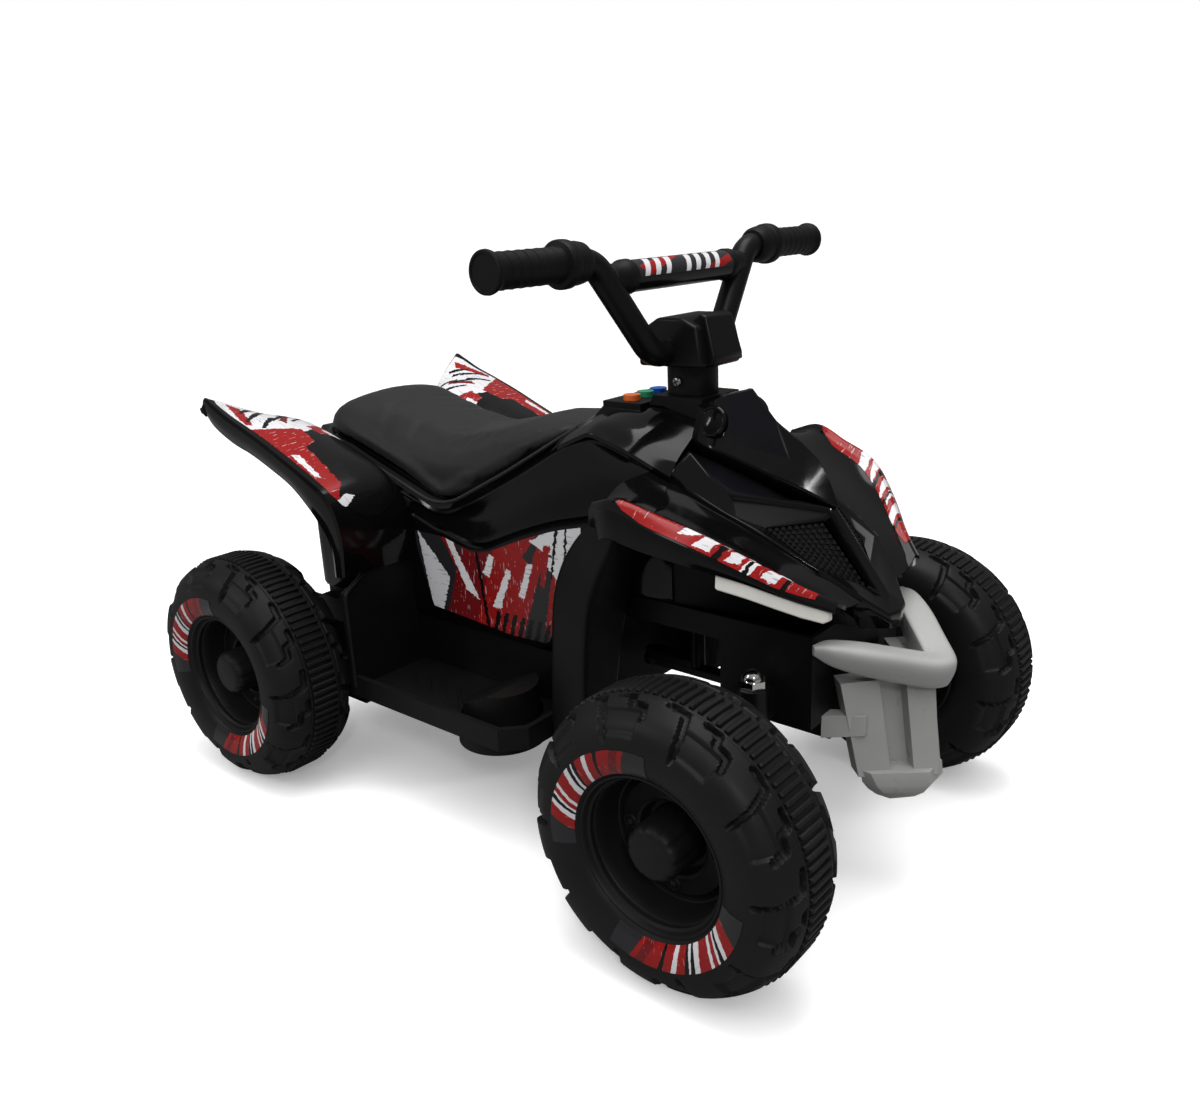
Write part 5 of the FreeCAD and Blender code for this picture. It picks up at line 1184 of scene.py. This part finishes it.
def walled(shape, name, finishes, stands_for):
    """A piece of flat panels with crisp eased edges and a wall inside."""
    obj = placed(shape, name)
    for look in finishes:
        obj.data.materials.append(look)
    settle(obj, PANEL_BEVEL, PANEL_SHARP)
    thick = obj.modifiers.new("wall", "SOLIDIFY")
    thick.thickness = PANEL_WALL * MM
    thick.offset = -1.0
    return seat_on(obj, "chassis", stands_for)


def grille_grid(sink):
    """Grid of the right grille panel, set back along its normal."""
    a, b, c, d = (np.array(NOSE[name], float) for name in ("G1", "H1", "H2", "G2"))
    u, v = np.meshgrid(np.linspace(0, 1, 12), np.linspace(0, 1, 10), indexing="ij")
    u = u[..., None]
    v = v[..., None]
    grid = outward(a * (1 - u) * (1 - v) + b * u * (1 - v) + c * u * v + d * (1 - u) * v, 0)
    return grid - grid_normals(grid) * sink


def build_nose():
    """Hood with side windows, nose with lamps and plate, studded grilles and round bosses."""
    gloss = finish("gloss_body")
    matt = finish("matt_body")
    lens = finish("dark_lens")
    walled(panels([(HOOD_FACES, 0), (WINDOW_FACES, 1)]), "hood", [gloss, lens], ["dash_visor"])
    walled(panels([(CHEEK_FACES, 0), (LAMP_FACES, 1), (PLATE_FACES, 2)]), "nose_shell", [gloss, lens, matt],
           ["front_cowl"])
    rows = [[(x, -y, z), (x, -low_y, low_z)] for x, y, z, low_y, low_z in LINER]
    liner = Shape().shell(patch(np.array(rows, float), 3, 6)[::-1], 2.0)
    liner.join(liner.mirrored())
    piece(liner, "nose_liner", "chassis", [matt])
    back = Shape().shell(grille_grid(3.0), 2.0)
    back.join(back.mirrored())
    piece(back, "grille_back", "chassis", [matt], ["nose_grille"])
    grid = grille_grid(2.6)
    studs = Shape().add(grid, grid_faces(*grid.shape[:2]))
    obj = placed(studs.join(studs.mirrored()), "grille_studs")
    grown(obj, stud_tree(), {"Width": STUD_WIDTH, "Rise": STUD_RISE, "Finish": matt})
    settle(obj)
    seat_on(obj, "chassis")
    boss = Shape().lathe(BOSS, (176, -31, 359), (0.05, -0.93, 0.36), 48)
    boss.join(boss.mirrored())
    piece(boss, "hood_bosses", "chassis", [gloss], sharp=30)


# Pillars

PILLAR = [
    (95, 65.25, 103.25, 72, 112), (140, 71, 110, 72, 116), (190, 80, 119, 72, 122),
    (230, 90, 130, 72, 128), (262, 108, 149, 72, 137), (287, 130, 168, 72, 146),
    (303, 147, 176, 74, 149),
]


def rounded(x_low, x_high, y_low, y_high, z, radius, turns=4):
    """A level rounded rectangle as a ring of points."""
    ring = []
    for cx, cy, start in ((x_high - radius, y_high - radius, 0), (x_low + radius, y_high - radius, 90),
                          (x_low + radius, y_low + radius, 180), (x_high - radius, y_low + radius, 270)):
        for k in range(turns + 1):
            a = math.radians(start + 90 * k / turns)
            ring.append((cx + radius * math.cos(a), cy + radius * math.sin(a), z))
    return ring


def build_pillars():
    """The legs from the footboards up into the front fenders."""
    rows = spline(PILLAR, 6)
    right = Shape().loft([rounded(xl, xh, -yo, -yi, z, 6) for z, xl, xh, yi, yo in rows])
    for hand, shape in (("right", right), ("left", right.mirrored())):
        piece(shape, f"fender_leg_{hand}", "chassis", [finish("matt_body")],
              [f"front_pillar_{hand}"], sharp=40)


# Bumper

BOW = [
    (287, -72, 214), (296, -62, 210), (312, -44.5, 203), (332, -22.5, 194.5), (345, -8, 189.5),
    (350, 0, 188.3),
]
BOW_SECTION = [
    (-11, 8), (-10, 11), (-4, 12), (6, 12), (10, 10.5), (12, 7), (11.5, 1), (8, -8), (4.5, -12),
    (-6, -12), (-10, -10), (-11, -5),
]
BOW_SCALE = [(0.2, 0.3), (0.72, 0.72), (1, 0.92), (1, 1), (1, 1), (1, 1)]
SKID_TOP = np.array([(299, -53), (340, -6)])
SKID_LOW = np.array([(309, -40), (349, -7)])
SKID_BLOCKS = ((0.0, 0.47, 0, 16), (0.43, 0.84, 13, 19), (0.8, 1.16, 0, 14))
SKID_STEPS = (0, 0.5, 1.03)
BRACE = (((285, -47, 146), 7, 9), ((314, -36, 150), 6, 8))
FOOT = ((111, 38, 11, 310, 318, 352), (100, 35, 12, 310, 322, 353), (92, 29, 11, 312, 325, 348),
        (85, 22, 9, 316, 327, 340))


def skid_point(share, down, back):
    """A point of the right skid: shares of the way to the nose and down, and depth behind its face."""
    high = SKID_TOP[0] + (SKID_TOP[1] - SKID_TOP[0]) * share
    low = SKID_LOW[0] + (SKID_LOW[1] - SKID_LOW[0]) * share
    x, y = high + (low - high) * down
    return (x - 0.72 * back, y + 0.69 * back, 184 - 76 * down)


def bumper_bow():
    """The swept bow: a section carried along the nose, thinner at its ends."""
    half = spline(np.concatenate([BOW, BOW_SCALE], axis=1), 7)
    whole = np.concatenate([half, (half * (1, -1, 1, 1, 1))[::-1][1:]])
    path = whole[:, :3]
    section = spline(np.array(BOW_SECTION + BOW_SECTION[:1], float), 3)[:-1]
    rings = []
    for spot, way, (wide, high) in zip(path, np.gradient(path, axis=0), whole[:, 3:]):
        out = np.array((way[1], -way[0], 0.0))
        out /= np.linalg.norm(out)
        if out[0] < 0:
            out = -out
        rings.append([spot + out * u * wide + np.array((0, 0, v * high)) for u, v in section])
    return Shape().loft(rings)


def build_bumper():
    """Grey bumper: a swept bow over slotted skid faces with a blunt foot."""
    half = Shape()
    for low, high, front, back in SKID_BLOCKS:
        half.loft([[skid_point(low, down, front), skid_point(high, down, front),
                    skid_point(high, down, back), skid_point(low, down, back)] for down in SKID_STEPS])
    half.loft([[(x, y - wide, z - tall), (x, y + wide, z - tall), (x, y + wide, z + tall),
                (x, y - wide, z + tall)] for (x, y, z), wide, tall in BRACE])
    bumper = bumper_bow().join(half).join(half.mirrored())
    bumper.loft([[(back, -wide, z), (mid, -wide, z), (nose, -tip, z), (nose, tip, z), (mid, wide, z),
                  (back, wide, z)] for z, wide, tip, back, mid, nose in FOOT])
    piece(bumper, "bumper_bow", "chassis", [finish("bumper_grey")], ["front_bumper"],
          1.6, 32, segments=3)


# Handlebar

GRIP = [
    (0.01, 0.8), (11.6, 0.8), (12, 0), (13.4, 0), (14.2, 0.8), (14.4, 2.6), (13.8, 4.6), (12.6, 6.2),
    (12.1, 9), (12, 30), (12.2, 66), (12.6, 68), (15.8, 69), (16.6, 70.4), (16.8, 73), (16.6, 77),
    (15.8, 78.6), (15, 79.4), (15, 87), (14.2, 92), (12, 95.4), (0.01, 95.4),
]
GRIP_END = 206.2
PAD_END = [
    (0.01, -86), (9.4, -86), (10.2, -85), (10.6, -74), (11.6, -72), (12.6, -70), (12.8, -64),
    (12.2, -62.6), (11.2, -62),
]
PAD_RADIUS = 11.2
STEM_BLOCK = [(108, 397), (107, 412), (114, 428), (124, 434), (146, 434), (160, 428), (166, 398)]
STEM_RIDGE = [(148, 398), (150, 432), (157, 437), (163, 435), (172, 404), (168, 397)]


def middle_of(node):
    """The middle of a CAD node's box, and half its size, in millimetres."""
    low, high = (np.array(corner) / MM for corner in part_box(node))
    return (low + high) / 2, (high - low) / 2


def pad_film(centre):
    """The film round the cross bar's pad, as a thin closed tube."""
    turn = np.linspace(0, 2 * math.pi, 57)
    grid = np.zeros((57, 14, 3))
    grid[..., 0] = PAD_RADIUS * np.cos(turn)[:, None]
    grid[..., 1] = np.linspace(-61.6, 61.6, 14)[None, :]
    grid[..., 2] = PAD_RADIUS * np.sin(turn)[:, None]
    uv = np.stack([grid[..., 1] / 100, np.broadcast_to((turn[:, None] - 0.7) * 0.112, (57, 14))], axis=2)
    normal = np.stack([np.cos(turn), np.zeros(57), np.sin(turn)], axis=1)[:, None, :]
    ring = np.concatenate([grid + normal * 0.45, (grid - normal * 0.3)[:, ::-1]], axis=1)
    both = np.concatenate([uv, uv[:, ::-1]], axis=1)
    return Shape().add(ring + centre, grid_faces(57, 28, wrap_v=True), uv=both)


def stem_block(side_view, half, lean):
    """A side view pushed out both ways from the middle, drawn in by a lean above its waist."""
    return [[(x, side * (half - lean * (z > 420)), z) for x, z in side_view] for side in (-1, 1)]


def build_bar():
    """Grips with flanges and end ribs, the cross bar's pad and its film, and the stem cover."""
    rubber = finish("grip_black")
    (at_x, _, at_z), _ = middle_of("grip_right")
    circle = [(12 * math.cos(a), 0, 12 * math.sin(a)) for a in np.linspace(0, 2 * math.pi, 49)]
    for hand, side in (("right", -1), ("left", 1)):
        grip = Shape().lathe(GRIP, (at_x, side * GRIP_END, at_z), (0, -side, 0), 64)
        piece(grip, f"hand_grip_{hand}", "steering", [rubber], [f"grip_{hand}"], sharp=32)
        repeated(Shape().tube(circle, 0.42, 6), f"hand_grip_{hand}_ribs", "steering", rubber,
                 6, (at_x, side * 192, at_z), offset=(0, -side * 9, 0))
    centre, _ = middle_of("crossbar_pad")
    pad = Shape().lathe(PAD_END + [(r, -h) for r, h in reversed(PAD_END)], centre, (0, 1, 0), 56)
    piece(pad, "bar_pad", "steering", [rubber], ["crossbar_pad"], sharp=32)
    piece(pad_film(centre), "bar_pad_film", "steering", [finish("pad_film")], sharp=50)
    stem = Shape().loft(stem_block(STEM_BLOCK, 30, 3))
    stem.loft(stem_block(STEM_RIDGE, 20, 2))
    piece(stem, "stem_shroud", "steering", [finish("bar_black")], ["stem_cover"], 2.2, 25,
          segments=3)
    build_bolt()


def build_bolt():
    """The pan-head screw through the stem's sleeve. Its cross slot is not cut but painted as a black cross
    on its right end: painted shade of the slot.
    """
    centre, (_, half, _) = middle_of("steering_bolt")
    ends = [(0.01, -half), (1.6, -half), (3, -half + 0.5), (3.7, -half + 1.4), (3.8, -half + 2.4),
            (2.4, -half + 2.6)]
    screw = Shape().lathe(ends + [(r, -h) for r, h in reversed(ends)], centre, (0, 1, 0), 32)
    # Painted shade: black slabs standing just proud of the head stand in for the shade inside the cross
    # slot.
    for turn in (0.4, 0.4 + math.pi / 2):
        along = np.array((math.cos(turn), 0.0, math.sin(turn))) * 2.4
        aside = np.array((-math.sin(turn), 0.0, math.cos(turn))) * 0.45
        face = centre - (0, half + 0.12, 0)
        cross = [face + along * s + aside * t for s, t in ((-1, -1), (1, -1), (1, 1), (-1, 1))]
        screw.slab(cross, (0, 0.5, 0), finish=1)
    piece(screw, "stem_screw", "steering", [finish("steel"), finish("bar_black")],
          ["steering_bolt"], sharp=30)


# Footboards

RIB_SECTION = ((-3, 0), (3, 0), (2, 1.6), (-2, 1.6))
RIM_X = -137.5
RIM_LINE = (
    (154, 104), (154, 150), (154, 190), (153, 194), (150, 197), (131, 208.5), (126, 210.5), (120, 211),
    (76, 211),
)


def build_boards():
    """Ribs of the trays and rims round the splash walls, over the moulded footboards."""
    matt = finish("matt_body")
    for hand, side in (("right", -1), ("left", 1)):
        rib = Shape().loft([[(end * 16 + a, side * end * 13, c) for a, c in RIB_SECTION]
                            for end in (-1, 1)])
        repeated(rib, f"tray_{hand}_ribs", "chassis", matt, 4, (-104, side * 112, 102.6),
                 offset=(20, 0, 0), bevel=0.5)
        rim = Shape().tube([(RIM_X, side * y, z) for y, z in RIM_LINE], 2.4, 12)
        piece(rim, f"splash_{hand}_rim", "chassis", [matt], sharp=50)


# Frame pieces that keep their CAD shape

def dress_cad():
    """Gives every CAD node that still shows its own finish."""
    for name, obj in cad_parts.items():
        slots = [m.name.split(".")[0] for m in obj.data.materials if m]
        look = next((s for s in slots if s in FINISH_MAKERS), "matt_body")
        obj.data.materials.clear()
        obj.data.materials.append(finish(look))


# Studio

CAMERA_AT = (614.75, -685.2, 516.7)
CAMERA_TURN = (40.28, 18.05, -2.52)
FOCAL_PX = 1054.81
PHOTO_WIDTH = 1200
SENSOR = 36.0
SKY_RANGE = (0.4, 1.9)
SOFT_BOXES = (
    ("top_box", (0.2, 0.1, 2.2), (0, 0, 0.2), (1.6, 1.1), 1.0),
    ("front_box", (1.6, -1.5, 1.5), (0.1, 0, 0.25), (0.22, 0.3), 0.45),
    ("side_box", (-1.2, -1.7, 1.3), (0, 0, 0.2), (0.16, 0.9), 0.3),
)


def build_floor(settings):
    """Pale paper, brighter to the eye than in the light that it throws back."""
    mesh = bpy.data.meshes.new("floor")
    mesh.from_pydata([(-60, -60, 0), (60, -60, 0), (60, 60, 0), (-60, 60, 0)], [], [(0, 1, 2, 3)])
    floor = bpy.data.objects.new("floor", mesh)
    bpy.context.scene.collection.objects.link(floor)
    f = Finish("floor_paper")
    seen = f.add("LightPath", {}, "Is Camera Ray")
    shade = f.mix(seen, tint(settings.floor_bounce), f.ramp(f.noise(3.0, 5.0), (0.3, 0.9), (0.7, 0.93)))
    mesh.materials.append(f.dress(base_color=shade, roughness=0.7, emission_color=tint(1.0),
                                  emission_strength=f.math("MULTIPLY", seen, 0.26)))


def build_room(settings):
    """A white room whose light grows from the horizon up."""
    world = bpy.data.worlds.new("studio")
    world.use_nodes = True
    tree = world.node_tree
    back = tree.nodes["Background"]
    back.inputs["Color"].default_value = (1.0, 1.0, 1.0, 1.0)
    place = new_node(tree, "ShaderNodeTexCoord", {})["Generated"]
    rise = new_node(tree, "ShaderNodeSeparateXYZ", {"Vector": place})["Z"]
    low, high = (settings.room_light * share for share in SKY_RANGE)
    sky = new_node(tree, "ShaderNodeMapRange", {"Value": rise, "To Min": low, "To Max": high})["Result"]
    seen = new_node(tree, "ShaderNodeLightPath", {})["Is Camera Ray"]
    level = new_node(tree, "ShaderNodeMapRange", {"Value": seen, "To Min": sky, "To Max": 1.0})["Result"]
    tree.links.new(level, back.inputs["Strength"])
    bpy.context.scene.world = world
    bpy.context.scene.view_settings.view_transform = "Standard"


def build_lights(settings):
    """Three soft boxes and an even light from above that leaves no mark in the gloss."""
    for name, place, aim, size, share in SOFT_BOXES:
        lamp = bpy.data.lights.new(name, "AREA")
        lamp.shape = "RECTANGLE"
        lamp.size, lamp.size_y = size
        lamp.energy = settings.key_light * share
        obj = bpy.data.objects.new(name, lamp)
        way = Vector(aim) - Vector(place)
        obj.matrix_world = Matrix.Translation(place) @ way.to_track_quat("-Z", "Y").to_matrix().to_4x4()
        bpy.context.scene.collection.objects.link(obj)
    sun = bpy.data.lights.new("overhead", "SUN")
    sun.energy = settings.overhead_light
    sun.angle = math.radians(70)
    obj = bpy.data.objects.new("overhead", sun)
    obj.rotation_euler = (math.radians(14), math.radians(10), 0)
    obj.visible_glossy = False
    bpy.context.scene.collection.objects.link(obj)


def build_camera():
    """A camera at the photograph's viewing angle."""
    turn, pitch, roll = (math.radians(v) for v in CAMERA_TURN)
    look = Vector((-math.sin(turn) * math.cos(pitch), math.cos(turn) * math.cos(pitch), -math.sin(pitch)))
    right = Vector((math.cos(turn), math.sin(turn), 0))
    up = right.cross(look)
    across = right * math.cos(roll) + up * math.sin(roll)
    above = up * math.cos(roll) - right * math.sin(roll)
    lens = bpy.data.cameras.new("camera")
    lens.sensor_fit = "HORIZONTAL"
    lens.sensor_width = SENSOR
    lens.lens = FOCAL_PX / PHOTO_WIDTH * SENSOR
    camera = bpy.data.objects.new("camera", lens)
    rows = [[across[i], above[i], -look[i], CAMERA_AT[i] * MM] for i in range(3)]
    camera.matrix_world = Matrix(rows + [[0, 0, 0, 1]])
    bpy.context.scene.collection.objects.link(camera)
    bpy.context.scene.camera = camera


def build_stage(settings):
    """Pale floor, white room, soft lights and the camera."""
    build_floor(settings)
    build_room(settings)
    build_lights(settings)
    build_camera()


# Add-on

class QuadBikeSettings(bpy.types.PropertyGroup):
    """Sizes and colours that a user would change."""

    tread_bars: bpy.props.IntProperty(
        name="Tread bars", description="Bars round the middle of a tyre", default=96, min=24, max=160)
    block_pairs: bpy.props.IntProperty(
        name="Block pairs", description="Pairs of shoulder blocks round a tyre", default=10, min=5, max=16)
    groove_depth: bpy.props.FloatProperty(
        name="Groove depth", description="Depth of the tyre's shoulder grooves", default=0.005,
        unit="LENGTH")
    seat_swell: bpy.props.FloatProperty(
        name="Seat swell", description="Most that the saddle's cover may move out", default=0.005,
        unit="LENGTH")
    seat_fold: bpy.props.FloatProperty(
        name="Seat fold", description="Depth of the folds at the dip", default=0.0011, unit="LENGTH")
    body_colour: bpy.props.FloatVectorProperty(
        name="Body colour", description="Gloss panels", subtype="COLOR", size=3,
        default=(0.0018, 0.0018, 0.002))
    bumper_colour: bpy.props.FloatVectorProperty(
        name="Bumper colour", description="Front bumper", subtype="COLOR", size=3,
        default=(0.3, 0.3, 0.295))
    room_light: bpy.props.FloatProperty(
        name="Room light", description="Strength of the white room", default=0.22)
    floor_bounce: bpy.props.FloatProperty(
        name="Floor bounce", description="Light that the floor throws back", default=0.22)
    overhead_light: bpy.props.FloatProperty(
        name="Overhead light", description="Strength of the even light from above", default=2.3)
    key_light: bpy.props.FloatProperty(
        name="Key light", description="Power of the top light", default=22.0, unit="POWER")


class QUAD_OT_wheels(bpy.types.Operator):
    """Build the four wheels"""
    bl_idname = "quad.wheels"
    bl_label = "Wheels"

    def execute(self, context):
        build_wheels(context.scene.quad_bike)
        return {"FINISHED"}


class QUAD_OT_seat(bpy.types.Operator):
    """Build the saddle"""
    bl_idname = "quad.seat"
    bl_label = "Saddle"

    def execute(self, context):
        build_seat(context.scene.quad_bike)
        return {"FINISHED"}


class QUAD_OT_fenders(bpy.types.Operator):
    """Build the fenders and their films"""
    bl_idname = "quad.fenders"
    bl_label = "Fenders"

    def execute(self, context):
        build_fenders()
        return {"FINISHED"}


class QUAD_OT_flanks(bpy.types.Operator):
    """Build the body's flanks, tank cover and side films"""
    bl_idname = "quad.flanks"
    bl_label = "Body flanks"

    def execute(self, context):
        build_flanks()
        return {"FINISHED"}


class QUAD_OT_nose(bpy.types.Operator):
    """Build the hood, nose, grille and bosses"""
    bl_idname = "quad.nose"
    bl_label = "Nose"

    def execute(self, context):
        build_nose()
        return {"FINISHED"}


class QUAD_OT_pillars(bpy.types.Operator):
    """Build the legs under the front fenders"""
    bl_idname = "quad.pillars"
    bl_label = "Fender legs"

    def execute(self, context):
        build_pillars()
        return {"FINISHED"}


class QUAD_OT_bumper(bpy.types.Operator):
    """Build the front bumper"""
    bl_idname = "quad.bumper"
    bl_label = "Bumper"

    def execute(self, context):
        build_bumper()
        return {"FINISHED"}


class QUAD_OT_bar(bpy.types.Operator):
    """Build the grips, pad and stem cover"""
    bl_idname = "quad.bar"
    bl_label = "Handlebar"

    def execute(self, context):
        build_bar()
        return {"FINISHED"}


class QUAD_OT_boards(bpy.types.Operator):
    """Build the footboards' ribs and rims"""
    bl_idname = "quad.boards"
    bl_label = "Footboards"

    def execute(self, context):
        build_boards()
        return {"FINISHED"}


class QUAD_OT_frame(bpy.types.Operator):
    """Dress the frame pieces that keep their CAD shape"""
    bl_idname = "quad.frame"
    bl_label = "Frame finishes"

    def execute(self, context):
        dress_cad()
        return {"FINISHED"}


class QUAD_OT_stage(bpy.types.Operator):
    """Build the floor, lights and camera"""
    bl_idname = "quad.stage"
    bl_label = "Studio"

    def execute(self, context):
        build_stage(context.scene.quad_bike)
        return {"FINISHED"}


OPERATORS = (QUAD_OT_stage, QUAD_OT_frame, QUAD_OT_wheels, QUAD_OT_seat, QUAD_OT_fenders, QUAD_OT_flanks,
             QUAD_OT_nose, QUAD_OT_pillars, QUAD_OT_bumper, QUAD_OT_bar, QUAD_OT_boards)


class QUAD_PT_panel(bpy.types.Panel):
    """Sidebar list of the quad bike's builders"""
    bl_label = "Quad bike"
    bl_idname = "QUAD_PT_panel"
    bl_space_type = "VIEW_3D"
    bl_region_type = "UI"
    bl_category = "Quad bike"

    def draw(self, context):
        for name in QuadBikeSettings.__annotations__:
            self.layout.prop(context.scene.quad_bike, name)
        for operator in OPERATORS:
            self.layout.operator(operator.bl_idname)


CLASSES = (QuadBikeSettings,) + OPERATORS + (QUAD_PT_panel,)


def register():
    for cls in CLASSES:
        bpy.utils.register_class(cls)
    bpy.types.Scene.quad_bike = bpy.props.PointerProperty(type=QuadBikeSettings)


def unregister():
    del bpy.types.Scene.quad_bike
    for cls in reversed(CLASSES):
        bpy.utils.unregister_class(cls)


def main():
    register()
    for operator in OPERATORS:
        group, name = operator.bl_idname.split(".")
        getattr(getattr(bpy.ops, group), name)()


if __name__ == "__main__":
    main()
